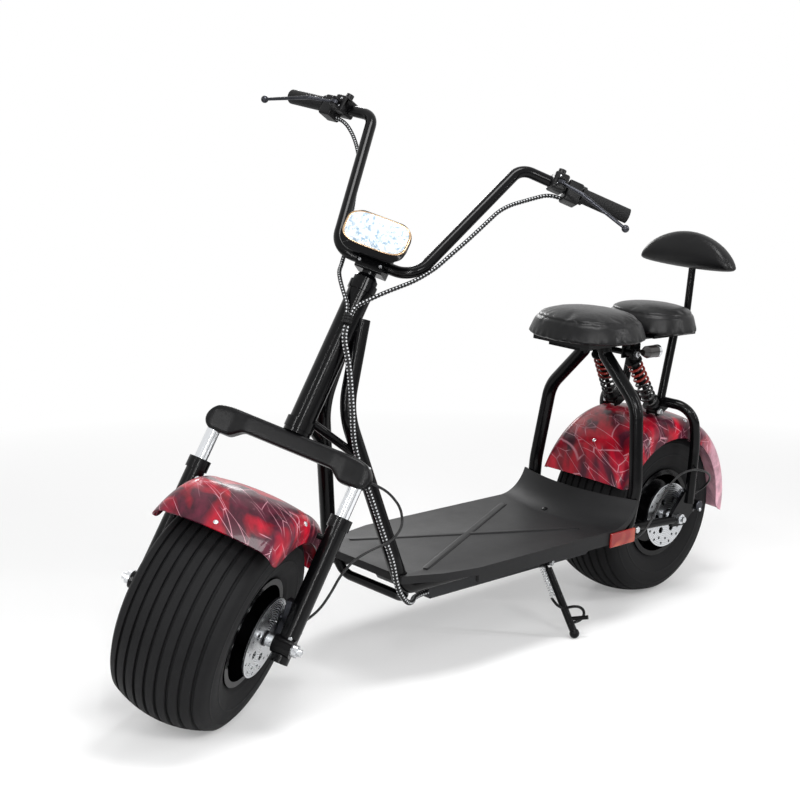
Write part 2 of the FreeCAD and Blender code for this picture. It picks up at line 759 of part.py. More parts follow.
# Headlamp
def roundedRectangle(width, height, radius, ahead):
    """A wire across the steering axis: width along Y, height along Z, with arcs at its corners"""
    w, h, r = width / 2, height / 2, radius
    edges = []
    # Corner centre and the angle at which its arc starts
    middles = [(w - r, h - r, 0), (-(w - r), h - r, 90), (-(w - r), -(h - r), 180), (w - r, -(h - r), 270)]
    for cy, cz, start in middles:
        points = []
        for step in (0, 45, 90):
            angle = math.radians(start + step)
            points.append(Vector(ahead, cy + r * math.cos(angle), cz + r * math.sin(angle)))
        edges.append(Part.Arc(*points).toShape())
    wires = []
    for index, edge in enumerate(edges):
        following = edges[(index + 1) % 4]
        wires.append(edge)
        end, start = edge.Vertexes[-1].Point, following.Vertexes[0].Point
        wires.append(Part.LineSegment(end, start).toShape())
    return Part.Wire(wires)


LAMP_BACK = BAR_BACK + 25
LENS_INSET = 9.0
LENS_DEPTH = 10.0


def makeLampShell():
    """Bowl of the headlamp, open to the front where the lens sits"""
    width, height, depth = float(d.lamp_width), float(d.lamp_height), float(d.lamp_depth)
    back = roundedRectangle(width - 34, height - 26, 24, 0)
    front = roundedRectangle(width, height, 36, depth)
    bowl = Part.makeLoft([back, front], True, True)
    pocket = roundedRectangle(width - 2 * LENS_INSET, height - 2 * LENS_INSET, 30, depth - 6)
    hollow = Part.Face(pocket).extrude(Vector(10, 0, 0))
    return bowl.cut(hollow)


lampPlace = steeringPlace.multiply(shift(LAMP_BACK + d.seat_gap, 0, d.bar_height + d.lamp_over))
feature("headlamp_shell", lampPlace, makeLampShell())


def makeLens():
    width = float(d.lamp_width) - 2 * LENS_INSET - 2 * float(d.seat_gap)
    height = float(d.lamp_height) - 2 * LENS_INSET - 2 * float(d.seat_gap)
    depth = float(d.lamp_depth)
    rear = roundedRectangle(width, height, 29.5, depth - 6)
    middle = roundedRectangle(width, height, 29.5, depth)
    block = Part.Face(rear).extrude(Vector(6, 0, 0))
    front = roundedRectangle(width - 20, height - 20, 20, depth + LENS_DEPTH)
    dome = Part.makeLoft([middle, front], True, True)
    return joined([block, dome])


feature("headlamp_lens", lampPlace, makeLens())


# Mudguards
GUARD_CORNER = 35.0


def guardCorner(angle, ahead):
    """What rounds off the sheet's lower corners at one end: a block less a cylinder that meets
    the lower edge and the end without a step"""
    edge, corner = float(guardEdge), GUARD_CORNER
    half = float(d.guard_half) + 5
    meet = corner * edge / (edge + corner)
    height = math.sqrt((edge + corner) ** 2 - corner ** 2)
    low, high = sorted((-ahead * meet, ahead * 8))
    block = boxShape((low, -half, edge - 12), (high, half, height))
    cutter = block.cut(Part.makeCylinder(corner, 2 * half, Vector(-ahead * corner, -half, height), Y_AXIS))
    cutter.rotate(Vector(0, 0, 0), Y_AXIS, angle)
    return cutter


def makeGuard(label, place, frontAngle, rearAngle):
    """Sheet over the wheel: an arched section swept about the axle between two angles,
    measured forward from straight up"""
    half, outer, edge = float(d.guard_half), float(guardRadius), float(guardEdge)
    shoulder = 34.0

    def section(inset):
        w, r, c = half - inset, outer - inset, shoulder - inset
        crown = 8.0
        top = Part.Arc(Vector(0, -(w - c), r - crown), Vector(0, 0, r), Vector(0, w - c, r - crown))
        s = math.sqrt(0.5)
        cz = r - crown - c
        left = Part.Arc(Vector(0, w - c, r - crown), Vector(0, w - c + c * s, cz + c * s), Vector(0, w, cz))
        right = Part.Arc(Vector(0, -w, cz), Vector(0, -(w - c + c * s), cz + c * s),
                         Vector(0, -(w - c), r - crown))
        return w, cz, [right.toShape(), top.toShape(), left.toShape()]

    w0, z0, outside = section(0.0)
    w1, z1, inside = section(float(d.guard_thick))
    lines = [
        Part.LineSegment(Vector(0, -w0, edge), Vector(0, -w0, z0)).toShape(),
        Part.LineSegment(Vector(0, w0, z0), Vector(0, w0, edge)).toShape(),
        Part.LineSegment(Vector(0, w0, edge), Vector(0, w1, edge)).toShape(),
        Part.LineSegment(Vector(0, w1, edge), Vector(0, w1, z1)).toShape(),
        Part.LineSegment(Vector(0, -w1, z1), Vector(0, -w1, edge)).toShape(),
        Part.LineSegment(Vector(0, -w1, edge), Vector(0, -w0, edge)).toShape(),
    ]
    ring = Part.Wire(Part.__sortEdges__(outside + inside + lines))
    face = Part.Face(ring)
    face.rotate(Vector(0, 0, 0), Y_AXIS, rearAngle)
    sweep = face.revolve(Vector(0, 0, 0), Y_AXIS, frontAngle - rearAngle)
    cutters = [guardCorner(frontAngle, 1), guardCorner(rearAngle, -1)]
    return feature(label, place, sweep.cut(cutters))


makeGuard("front_mudguard", parked.multiply(frontHub), 54.0, -51.0)
makeGuard("rear_mudguard", rearPlace, 64.0, -96.0)


# Frame
railEnd = 330.0
railFront = float(d.frame_span)
MEMBER_RADIUS = 9.0
MEMBER_LIFT = 4.0


def downTube():
    """Down tube of the left side, from the head tube to the front of the rail"""
    top = frameFoot + upward * (float(headTop) - 70) - forward * 22
    side, height = float(d.rail_half), float(d.rail_height)
    corner, rail = (railFront + 26, side, height), (railFront, side, height)
    upper, lower = (frameFoot.x - 292, 38, 612), (railFront + 55, 107, height + 70)
    return [(top.x, 17, top.z), upper, lower, corner, rail], [160, 60, 40]


def onDownTube(share):
    """A point that far down the long straight run of the left down tube"""
    upper, lower = vectors(downTube()[0][1:3])
    return upper + (lower - upper) * share


def crashBar():
    """Bent guard bar under the front of the rails"""
    side, height = float(d.rail_half), float(d.rail_height)
    half = [(railFront + 35, side - 3, height + 24), (railFront + 7, side - 10, height - 32)]
    points = half + mirrored(half[::-1])
    return tubeShape(points, [26, 26], 11)


def makeFrontFrame():
    """Head tube, two down tubes, their lower braces and the guard bar"""
    radius = float(d.tube_radius)
    bottom = frameFoot + upward * float(headBottom)
    top = frameFoot + upward * float(headTop)
    head = Part.makeCylinder(d.head_radius, headLength, bottom, upward)
    cupLow = Part.makeCylinder(d.head_radius + 4, 22, bottom, upward)
    cupTop = Part.makeCylinder(d.head_radius + 3, 18, top - upward * 18, upward)
    points, bends = downTube()
    tubes = both(tubeShape(points, bends, radius))
    cross = onDownTube(0.35)
    brace = barShape((cross.x, -cross.y, cross.z), tuple(cross), 11)
    strut = both(barShape((bottom.x - 12, 8, bottom.z + 26), tuple(onDownTube(0.32)), 9))
    solid = joined([head, cupLow, cupTop, brace, crashBar()] + tubes + strut)
    bore = Part.makeCylinder(d.stem_radius + 3, headLength, bottom, upward)
    return solid.cut(bore)


feature("front_frame", chassis, makeFrontFrame())


def makeDeckFrame():
    """Rails under the deck with the cross members that carry the battery box"""
    radius, side, height = float(d.tube_radius), float(d.rail_half), float(d.rail_height)
    rails = both(barShape((railEnd, side, height), (railFront, side, height), radius))
    # Cross members between the rails, above the battery box
    lift = height + MEMBER_LIFT
    first, last = railFront - 45, railEnd + 20
    places = (first, (first + last) / 2, last)
    members = [barShape((x, -side, lift), (x, side, lift), MEMBER_RADIUS) for x in places]
    return joined(rails + members)


feature("deck_frame", chassis, makeDeckFrame())


# Heights over the frame's own floor line
seatBottom = DRAWN_TYRE + d.wheel_radius + d.seat_over
seatUnder = float(seatBottom) - 12
SHOCK_AHEAD = 125.0
SHOCK_SIDE = 53.5
shockHeight = seatUnder - 32
pivotHeight = float(d.rail_height) + 7


def seatTube():
    """Tube of the left side from the rail's end up to the plate under the front seat"""
    side, height = float(d.rail_half), float(d.rail_height)
    points = [(railEnd - 0.1, side, height), (302, side, height), (218, 158, height + 5),
              (205, 166, height + 123), (197, 141, seatUnder - 143), (203, 34, seatUnder - 30),
              (205, 30, seatUnder - 6)]
    return points, [46, 44, 120, 90, 20]


def makeSeatFrame():
    """The rails' ends bend up past the tray and lean together under the front seat"""
    tubes = both(tubeShape(*seatTube(), float(d.tube_radius)))
    plate = boxShape((96, -50, seatUnder - 10), (322, 50, seatUnder))
    x, z = SHOCK_AHEAD, shockHeight
    ears = [boxShape((x - 13, y - 3, z - 14), (x + 13, y + 3, seatUnder - 5)) for y in (-37, -70, 37, 70)]
    cross = barShape((x, -73, z), (x, 73, z), 8)
    pivots = both(boxShape((150, 122, pivotHeight - 24), (236, 129, pivotHeight + 33)))
    return joined(tubes + [plate, cross] + ears + pivots)


def makeBatteryBox():
    """Closed box hung between the rails"""
    body = newBody("battery_box")
    sketch = newSketch(body, "XZ_Plane", "box_profile")
    front, bottom = d.frame_span - d.box_back, d.rail_height - d.box_below
    rear = DRAWN_TYRE + d.guard_gap + d.box_clear
    top = d.rail_height + MEMBER_LIFT - MEMBER_RADIUS - d.seat_gap
    corners = [(rear, bottom + 14), (rear + 14, bottom), (front - 10, bottom),
               (front, bottom + 14), (front, top), (rear, top)]
    outline(sketch, corners)
    block = symmetricPad(body, sketch, 2 * d.box_half, "box_block")

    def alongLength(edge):
        box = edge.BoundBox
        return box.YLength < 0.1 and box.Center.z < bottom + 20

    roundEdges(body, block, 6.0, "box_edges", alongLength)
    return addNode(body, "battery_box", chassis)


feature("seat_frame", chassis, makeSeatFrame())
makeBatteryBox()


deckLow = d.rail_height + d.tube_radius + d.seat_gap
deckTop = d.rail_height + d.deck_over
DECK_SWEEP = 84.0
DECK_SAG = 40.0
DECK_EDGE = 262.0


def splashAxis():
    """The tray's rear wall bows round the rear wheel: its arc's centre and radius, seen from above"""
    half = float(d.deck_half)
    radius = (half ** 2 + DECK_SAG ** 2) / (2 * DECK_SAG)
    return DECK_EDGE - radius, radius


def splashWall():
    """Rear of the tray: a side profile that sweeps up, turned about the bow's upright axis"""
    centre, radius = splashAxis()
    top, low, rise = float(deckTop), float(deckLow), float(d.deck_rise)
    reach = radius + DECK_SWEEP
    thick = 8.0
    upper = Part.Arc(Vector(reach, 0, top), Vector(radius + 30, 0, top + 18), Vector(radius, 0, top + rise))
    lower = Part.Arc(Vector(reach, 0, low), Vector(radius + 25, 0, top + 4),
                     Vector(radius - thick, 0, top + rise - 3))
    edges = [
        upper.toShape(), lower.toShape(),
        Part.LineSegment(Vector(radius, 0, top + rise), Vector(radius - thick, 0, top + rise - 3)).toShape(),
        Part.LineSegment(Vector(reach, 0, low), Vector(reach, 0, top)).toShape(),
    ]
    face = Part.Face(Part.Wire(Part.__sortEdges__(edges)))
    face.rotate(Vector(0, 0, 0), Z_AXIS, -35)
    wall = face.revolve(Vector(0, 0, 0), Z_AXIS, 70)
    wall.translate(Vector(centre, 0, 0))
    return wall


def makeDeckTray():
    """Moulded tray: a flat slab, a rear wall that bows round the wheel, turned-down sides
    and crossed ribs on the standing surface"""
    front = railFront + float(d.deck_ahead)
    half, top, low = float(d.deck_half), float(deckTop), float(deckLow)
    centre, radius = splashAxis()
    rear = DECK_EDGE - 55
    nose, shoulder, taper = 132.0, 18.0, 90.0
    plan = [
        (front, -nose, low), (front - taper, -(half - shoulder), low), (front - 2 * taper, -half, low),
        (rear, -half, low), (rear, half, low), (front - 2 * taper, half, low),
        (front - taper, half - shoulder, low), (front, nose, low),
    ]
    slab = Part.Face(Part.makePolygon(vectors(plan + plan[:1]))).extrude(Vector(0, 0, top - low))
    slab = slab.cut(Part.makeCylinder(radius + DECK_SWEEP, 400, Vector(centre, 0, 0)))
    sides = boxShape((rear - 100, -half, 0), (front, half, 600))
    tray = joined([slab, splashWall().common(sides)])
    startSide = centre + math.sqrt((radius + DECK_SWEEP) ** 2 - half ** 2)
    rims = both(boxShape((startSide + 6, half - 9, top - 34), (front - 2 * taper, half, top - 4)))
    ribs = []
    reach = half - 62
    for side in (1, -1):
        start = Vector(front - 75, side * reach, top - 2)
        end = Vector(centre + radius + DECK_SWEEP + 20, -side * reach, top - 2)
        along = (end - start).normalize()
        across = Vector(-along.y, along.x, 0) * 5
        corners = [start + across, end + across, end - across, start - across]
        ribs.append(Part.Face(Part.makePolygon(corners + corners[:1])).extrude(Vector(0, 0, 4.5)))
    tray = joined([tray] + rims + ribs)
    # Room for the frame tubes that pass it
    room = float(d.tube_radius) + 1.5
    points, bends = seatTube()
    tubes = both(tubeShape(points, bends, room))
    points, bends = downTube()
    tubes += both(tubeShape(points, bends, room))
    tray = tray.cut(tubes)
    return max(tray.Solids, key=lambda solid: solid.Volume)


feature("deck_tray", chassis, makeDeckTray())


# Swingarm with the hoop over the rear wheel, drawn about the rear axle
HOOP_BENDS = [200, 56, 60, 60, 56, 200]
hoopTop = float(guardRadius + d.hoop_over)
shockTop = Vector(SHOCK_AHEAD + float(ride), SHOCK_SIDE, shockHeight - DRAWN_TYRE)
shockFoot = Vector(27, 68, hoopTop - 20)


def hoopPoints():
    side = float(d.hoop_half)
    half = [(-40, side, 34.5), (-54, side - 7, hoopTop - 100), (-34, side - 7, hoopTop - 6),
            (-8, 60, hoopTop)]
    return half + mirrored(half[::-1])


def onGuard(ahead):
    """Height over the axle of the mudguard's top, that far ahead of it, where the lugs rest on it"""
    return math.sqrt((float(guardRadius) - 1.2) ** 2 - ahead ** 2)


def makeSwingarm():
    """Hoop with two slotted plates at the axle, two arms to the pivot and the lugs of the shocks"""
    side = float(d.hoop_half)
    hoop = tubeShape(hoopPoints(), HOOP_BENDS, float(d.hoop_radius))
    profile = [(-22, -22), (26, -20), (30, 14), (-20, 66), (-66, 66), (-62, 8)]
    plates = [plateShape([(x, y, z) for x, z in profile], (0, 10, 0)) for y in (side - 10, -side)]
    pivot = 190 + float(ride)
    level = pivotHeight - DRAWN_TYRE
    arms = both(barShape((20, side - 5, -2), (pivot - 4, 140, level), 11))
    eyes = both(Part.makeCylinder(17, 22, Vector(pivot, 129.3, level), Y_AXIS))
    lugProfile = [(-14, hoopTop - 14), (-4, hoopTop + 12), (20, hoopTop - 4), (38, hoopTop - 17),
                  (34, onGuard(34)), (18, onGuard(18))]
    lugs = []
    for y in (shockFoot.y - 17, shockFoot.y + 12):
        lugs += both(plateShape([(x, y, z) for x, z in lugProfile], (0, 5, 0)))
    bolts = both(barShape(tuple(shockFoot - Y_AXIS * 19), tuple(shockFoot + Y_AXIS * 20), 4))
    solid = joined([hoop] + plates + arms + eyes + lugs + bolts)
    return solid.cut(Part.makeCylinder(d.axle_radius + d.run_gap, 400, Vector(0, -200, 0), Y_AXIS))


feature("swingarm", rearPlace, makeSwingarm())


def onShock(distance):
    """A point on the left damper's axis, that far up from its foot bolt"""
    along = (shockTop - shockFoot).normalize()
    return shockFoot + along * distance, along


def makeShocks():
    """Dampers: eyes at both ends, a body, a rod and the two spring cups"""
    foot, along = onShock(0)
    length = (shockTop - foot).Length
    low = Part.makeCylinder(9, 20, foot - Y_AXIS * 10, Y_AXIS)
    high = Part.makeCylinder(9, 20, foot + along * length - Y_AXIS * 10, Y_AXIS)
    rod = Part.makeCylinder(6, length - 10, foot + along * 5, along)
    bodyTube = Part.makeCylinder(11.5, 78, foot + along * (length - 96), along)
    cups = [Part.makeCylinder(22, 4, onShock(at)[0], along) for at in (20.0, length - 26)]
    solid = joined([low, high, rod, bodyTube] + cups)
    holes = [Part.makeCylinder(4 + d.run_gap, 40, foot - Y_AXIS * 20, Y_AXIS),
             Part.makeCylinder(8 + d.run_gap, 40, foot + along * length - Y_AXIS * 20, Y_AXIS)]
    return Part.makeCompound(both(solid.cut(holes)))


feature("shocks", rearPlace, makeShocks())


def makeSprings():
    """Coil springs between the cups, turned about the dampers"""
    length = (shockTop - shockFoot).Length
    wire = float(d.wire_radius)
    low = 24 + wire + float(d.seat_gap)
    high = length - 26 - wire - float(d.seat_gap)
    turns = 8
    pitch = (high - low) / turns
    helix = Part.makeHelix(pitch, high - low, d.spring_radius)
    start = helix.Edges[0].Vertexes[0].Point
    section = Part.Wire(Part.makeCircle(wire, start, Vector(0, d.spring_radius * 2 * math.pi, pitch)))
    coil = Part.Wire(helix.Edges).makePipeShell([section], True, True)
    foot, along = onShock(low)
    coil.Placement = Placement(foot, Rotation(Z_AXIS, along))
    return Part.makeCompound(both(coil))


feature("shock_springs", rearPlace, makeSprings())


# Seats
# Rings of a pad, bottom to top: share of its plan and of its thickness
SEAT_LAYERS = [(0.975, 0.0), (1.0, 0.16), (0.985, 0.40), (0.93, 0.60), (0.80, 0.78), (0.55, 0.93),
               (0.22, 1.0)]


def makeSeat(label, middle, length, half):
    """A padded saddle: an oval bottom edge, a full belly and a gently domed top"""
    thick = float(d.seat_thick)

    def ring(scale, height):
        a, b = length / 2 * scale, half * scale
        ellipse = Part.Ellipse(Vector(0, 0, height), max(a, b), min(a, b))
        wire = Part.Wire(ellipse.toShape())
        if b > a:
            wire.rotate(Vector(0, 0, height), Z_AXIS, 90)
        return wire

    layers = [ring(scale, thick * share) for scale, share in SEAT_LAYERS]
    pad = Part.makeLoft(layers, True, False)
    return feature(label, chassis.multiply(shift(middle, 0, seatBottom + d.seat_gap)), pad)


rearSeatMiddle = d.seat_middle - d.seat_length / 2 - d.rear_seat_length / 2 - 4
makeSeat("front_seat", d.seat_middle, float(d.seat_length), float(d.seat_half))
makeSeat("rear_seat", rearSeatMiddle, float(d.rear_seat_length), float(d.rear_seat_half))


def makeSeatPan():
    """Plate under the front pad"""
    middle, bottom = float(d.seat_middle), float(seatBottom)
    return boxShape((middle - 100, -90, bottom - 12), (middle + 100, 90, bottom))


feature("front_seat_pan", chassis, makeSeatPan())


def makeRearSupport():
    """Plate under the rear pad on two struts from the hoop, drawn about the rear axle"""
    middle, bottom = float(rearSeatMiddle + ride), float(seatBottom) - DRAWN_TYRE
    plate = boxShape((middle - 88, -80, bottom - 8), (middle + 88, 80, bottom))
    struts = both(barShape((-9, 62, hoopTop + 10), (middle - 19, 62, bottom - 6), 11))
    solid = joined([plate] + struts)
    return solid.cut(tubeShape(hoopPoints(), HOOP_BENDS, float(d.hoop_radius) + 0.05))


feature("rear_seat_support", rearPlace, makeRearSupport())


POST_RADIUS = 9.5
postLow = float(seatBottom) - 18
postFoot = float(rearSeatMiddle) - 151
postHead = postFoot - 12
backrestBottom = float(seatBottom + d.backrest_over)


def makeBackrestPost():
    """Bar from under the rear seat up into the backrest"""
    points = [(float(rearSeatMiddle) + 40, 0, postLow), (postFoot, 0, postLow),
              (postHead, 0, backrestBottom + 52)]
    return tubeShape(points, [30], POST_RADIUS)


feature("backrest_post", chassis, makeBackrestPost())


def makeBackrestPad():
    """Crescent pad: flat underside, round top, bowed round the rider"""
    width, height = float(d.backrest_width), float(d.backrest_height)
    half = width / 2

    def face(inset, x):
        w, h = half - inset, height - inset
        arc = Part.Arc(Vector(x, -w, inset + 14), Vector(x, 0, h), Vector(x, w, inset + 14)).toShape()
        low = Part.Arc(Vector(x, w, inset + 14), Vector(x, 0, inset), Vector(x, -w, inset + 14)).toShape()
        return Part.Wire([arc, low])

    return Part.makeLoft([face(14, 0), face(0, 14), face(0, 34), face(20, 46)], True, True)


padBack = postFoot - 4
padPlace = chassis.multiply(shift(padBack, 0, backrestBottom))


def makeBackrest():
    """The pad with the slot that the bar goes up into"""
    foot = (postFoot - padBack, 0, postLow - backrestBottom)
    head = (postHead - padBack, 0, 52)
    return makeBackrestPad().cut(barShape(foot, head, POST_RADIUS + float(d.seat_gap)))


feature("backrest_pad", padPlace, makeBackrest())


# Lamps and reflectors
def makeSignals():
    """Round turn-signal lamps beside the upper shock bolts"""
    height = seatUnder - 24
    barrel = Part.makeCylinder(15.5, 44, Vector(66, 92, height), X_AXIS)
    stalk = barShape((118, 73.3, height), (118, 84, height), 5)
    neck = Part.makeCone(15.5, 8, 16, Vector(110, 92, height), X_AXIS)
    return Part.makeCompound(both(joined([barrel, neck, stalk])))


feature("turn_signals", chassis, makeSignals())


def makeTailLamp():
    """Lamp on the back of the rear mudguard, drawn about the rear axle"""
    radius = float(guardRadius)
    block = boxShape((-radius - 18, -48, 34.5), (-radius + 20, 48, 72.5))
    inner = Part.makeCylinder(radius + d.seat_gap, 200, Vector(0, -100, 0), Y_AXIS)
    return block.cut(inner)


feature("tail_lamp", rearPlace, makeTailLamp())


# Brakes
CALIPER_HALF = 32
CALIPER_SIDE = 20
CALIPER_OUT = 26
FRONT_CALIPER_ANGLE = -60
REAR_CALIPER_ANGLE = -72


def makeCaliper(label, place, angle, arm, piston):
    """Caliper straddling the disc above the axle, turned back by the angle, with a bracket arm and
    a piston housing that is given along the caliper, out from the axle and by its radius"""
    ring = float(d.disc_radius) - 16
    offset, gap = float(d.disc_offset), float(d.disc_thick) / 2 + 0.9
    block = boxShape((-CALIPER_HALF, offset - 18, ring - 22),
                     (CALIPER_HALF, offset + CALIPER_SIDE, ring + CALIPER_OUT))
    block = block.makeFillet(6, block.Edges)
    slot = boxShape((-40, offset - gap, 0), (40, offset + gap, float(d.disc_radius) + 3))
    along, out, radius = piston
    housing = Part.makeCylinder(radius, CALIPER_SIDE + 16, Vector(along, offset + 10, out), Y_AXIS)
    outer = [edge for edge in housing.Edges if edge.BoundBox.Center.y > offset + 40]
    housing = housing.makeChamfer(2.5, outer)
    solid = joined([block, boxShape(*arm), housing]).cut(slot)
    return feature(label, place.multiply(turn(Y_AXIS, angle)), solid)


bracket = float(d.disc_offset) + 10
makeCaliper("front_caliper", parked.multiply(frontHub), FRONT_CALIPER_ANGLE,
            ((20, bracket, 44), (72, float(d.leg_half) - 20.3, 62)), (-6, 71, 16))
makeCaliper("rear_caliper", rearPlace, REAR_CALIPER_ANGLE,
            ((-24, bracket, 50), (5, float(d.hoop_half) - 10.3, 66)), (-4, 84, 13))


# Side stand: drawn about its pivot, whose axis is Y turned by the toe angle
standTurn = turn(Z_AXIS, STAND_TOE)
standPlace = chassis.multiply(shift(standPivot.x, standPivot.y, standPivot.z)).multiply(standTurn)
EYE_HALF = 4.5
BRACKET_THICK = 5.0


def makeStand():
    """Leg with a pivot eye, a kick tang and a round foot that rests on the floor"""
    length = standLength()
    radius = float(d.stand_radius)
    aim = standTurn.inverse().Rotation.multVec(standAim)
    foot = aim * length
    ring = Part.makeCylinder(14, 2 * EYE_HALF, Vector(0, -EYE_HALF, 0), Y_AXIS)
    root = aim * 18
    neck = barShape((0, 0, -11), tuple(root + aim * 8), 4.2)
    leg = Part.makeCylinder(radius, (foot - root).Length, root, foot - root)
    ball = Part.makeSphere(radius + 3, foot)
    tangRoot = aim * (length * 0.8)
    tang = barShape(tuple(tangRoot), tuple(tangRoot + Vector(-8, 46, 10)), 5)
    solid = joined([ring, neck, leg, ball, tang])
    return solid.cut(Part.makeCylinder(6 + d.run_gap, 4 * EYE_HALF, Vector(0, -2 * EYE_HALF, 0), Y_AXIS))


feature("side_stand", standPlace, makeStand())


def makeStandBracket():
    """Plate from the rail down to the pivot, with the bolt that the leg turns on"""
    inner = -EYE_HALF - d.seat_gap
    plate = boxShape((-13, inner - BRACKET_THICK, -11), (13, inner, 30))
    bolt = Part.makeCylinder(6, 2 * EYE_HALF + 2 * d.seat_gap + 1, Vector(0, inner, 0), Y_AXIS)
    head = Part.makeCylinder(9, 5, Vector(0, EYE_HALF + d.seat_gap, 0), Y_AXIS)
    solid = joined([plate, bolt, head])
    rail = barShape((0, d.rail_half, d.rail_height), (900, d.rail_half, d.rail_height), d.tube_radius)
    rail.Placement = standPlace.inverse().multiply(chassis)
    return solid.cut(rail)


feature("stand_bracket", standPlace, makeStandBracket())


# Cables that the scooter holds all the way: straight runs joined by the largest arcs they allow
LOOM_RADIUS = 4.5
BUNDLE_RADIUS = 6.0
HOSE_RADIUS = 2.8
BOOT_RADIUS = 10.5
BOOT_HALF = 9.0


def cable(points, radius):
    corners = vectors(points)
    radii = []
    for before, corner, after in zip(corners, corners[1:], corners[2:]):
        runIn, runOut = (corner - before).Length, (after - corner).Length
        angle = (corner - before).getAngle(after - corner)
        radii.append(0.45 * min(runIn, runOut) / math.tan(angle / 2))
    return tubeShape(points, radii, radius)


# The boot that gathers both looms in front of the head tube
bootMiddle = Vector(37.5, 11, float(d.bar_height) - 140)
bootAim = Vector(-3, 8, -50).normalize()
TIE_AIM = Vector(-2, 2, -46).normalize()


def besideRiser(share, outside, behind):
    """A point beside the left riser, that far out from its axis and behind it"""
    low, top = Vector(*barLow), Vector(*barTop)
    along = (top - low).normalize()
    back = (Vector(-1, 0, 0) + along * along.x).normalize()
    return low + (top - low) * share + along.cross(back) * -outside + back * behind


def mirrorPoint(point):
    return Vector(point.x, -point.y, point.z)


def besideSwitch():
    """The first two points of a loom, square to the inner end of a control housing"""
    point, along, ahead, over = barFrame(SWITCH_AT + SWITCH_LENGTH / 2 + float(d.seat_gap))
    mouth = point - over * 24 - ahead * 6
    return [mouth, mouth - along * 24]


def makeBarLooms():
    """Looms from both control housings down the bar into one boot before the head tube"""
    height = float(d.bar_height)
    across = bootAim.cross(X_AXIS).normalize() * 5
    left = besideSwitch() + [Vector(-134, 224, height + 288)] + [besideRiser(*place) for place in [
        (0.72, 31, 6), (0.56, 30, 2), (0.40, 28, 0), (0.24, 23, 0), (0.12, 20, 0)]]
    left += [Vector(2, 98, height - 8), Vector(17, 78, height - 34), Vector(30, 55, height - 62)]
    left += [Vector(38, 33, height - 90), bootMiddle - bootAim * 26 - across, bootMiddle - across]
    right = besideSwitch() + [Vector(-142, 214, height + 292)] + [besideRiser(*place) for place in [
        (0.74, 14, 26), (0.58, 4, 24), (0.42, -2, 23), (0.27, -8, 22), (0.14, -14, 25)]]
    right = [mirrorPoint(point) for point in right]
    right += [Vector(-13, -67, height - 25), Vector(6, -60, height - 46), Vector(23, -42, height - 68)]
    right += [Vector(34, -20, height - 92), bootMiddle - bootAim * 26 + across, bootMiddle + across]
    boot = Part.makeCylinder(BOOT_RADIUS, 2 * BOOT_HALF, bootMiddle - bootAim * BOOT_HALF, bootAim)
    return joined([cable(left, LOOM_RADIUS), cable(right, LOOM_RADIUS), boot])


feature("bar_looms", steeringPlace, makeBarLooms())


# The bundle's tie point on the left down tube, where it passes from the steering to the frame
bundleTie = Vector(frameFoot.x - 290, 65.4, 590)


def makeSteeringLoom():
    """Bundle from the boot down to its tie on the down tube; it flexes as the bar turns"""
    intoFrame = chassis.inverse().multiply(steeringPlace)
    start = intoFrame.multVec(bootMiddle + bootAim * (BOOT_HALF + float(d.seat_gap)))
    aim = intoFrame.Rotation.multVec(bootAim)
    x = frameFoot.x - 1344.3
    points = [start, start + aim * 26, (x + 1058, 46, 726), (x + 1058, 56, 682), (x + 1057, 61, 644),
              bundleTie - TIE_AIM * 26, bundleTie]
    return cable([tuple(point) for point in points], BUNDLE_RADIUS)


feature("steering_loom", chassis, makeSteeringLoom())


def makeFrameLoom():
    """Bundle from its tie down the left tube and under the rail into the battery box"""
    height = float(d.rail_height)
    x = railFront - 905
    wall = railFront - float(d.box_back) + float(d.seat_gap)
    start = bundleTie + TIE_AIM * float(d.seat_gap)
    points = [start, start + TIE_AIM * 36, (x + 1041, 85, 492), (x + 1019, 100, 425),
              (x + 997, 114, height + 130), (x + 978, 127, height + 72), (x + 969, 133, height + 14),
              (x + 938, 132, height - 26), (x + 904, 116, height - 38), (wall + 40, 88, height - 38),
              (wall, 88, height - 38)]
    return cable([tuple(point) for point in points], BUNDLE_RADIUS)


feature("frame_loom", chassis, makeFrameLoom())


def onCaliper(ahead, angle, along, aside, out):
    """A point by a caliper turned by that angle: along it, aside from the disc and out from the axle"""
    point = turn(Y_AXIS, angle).multVec(Vector(along, float(d.disc_offset) + aside, out))
    return point.x + ahead, point.y, point.z


def makeFrontHose():
    """Brake hose from its clip on the fork bridge, in a loop beside the leg, to the front caliper's side"""
    back = float(d.leg_ahead) - 20 - float(d.seat_gap)
    points = [(back, 152, 366), (back - 24, 152, 366), (-62, 176, 370), (-84, 208, 368), (-106, 240, 350),
              (-116, 258, 316), (-110, 250, 278), (-94, 222, 246), (-80, 200, 212), (-74, 188, 172),
              (-68, 186, 130), (-52, 182, 90)]
    end = CALIPER_SIDE + float(d.seat_gap)
    points += [onCaliper(float(d.fork_offset), FRONT_CALIPER_ANGLE, 22, aside, 71)
               for aside in (end + 26, end)]
    return cable(points, HOSE_RADIUS)


feature("front_brake_hose", steeringPlace, makeFrontHose())


def makeRearHose():
    """Brake hose from the seat tube's foot, past the hoop, to the back of the rear caliper"""
    x, level = float(ride), pivotHeight - 7 - DRAWN_TYRE
    points = [(x + 262, 155.2, level - 5), (x + 228, 173, level - 9), (x + 190, 178, level - 4),
              (x + 148, 173, level + 14), (104, 168, 58), (66, 166, 100), (28, 172, 128), (-14, 184, 136),
              (-52, 190, 126), (-84, 186, 110), (-108, 170, 88), (-120, 148, 64)]
    end = float(d.disc_radius) - 16 + CALIPER_OUT + float(d.seat_gap)
    points += [onCaliper(0, REAR_CALIPER_ANGLE, 10, 11, out) for out in (end + 28, end)]
    return cable(points, HOSE_RADIUS)


feature("rear_brake_hose", rearPlace, makeRearHose())


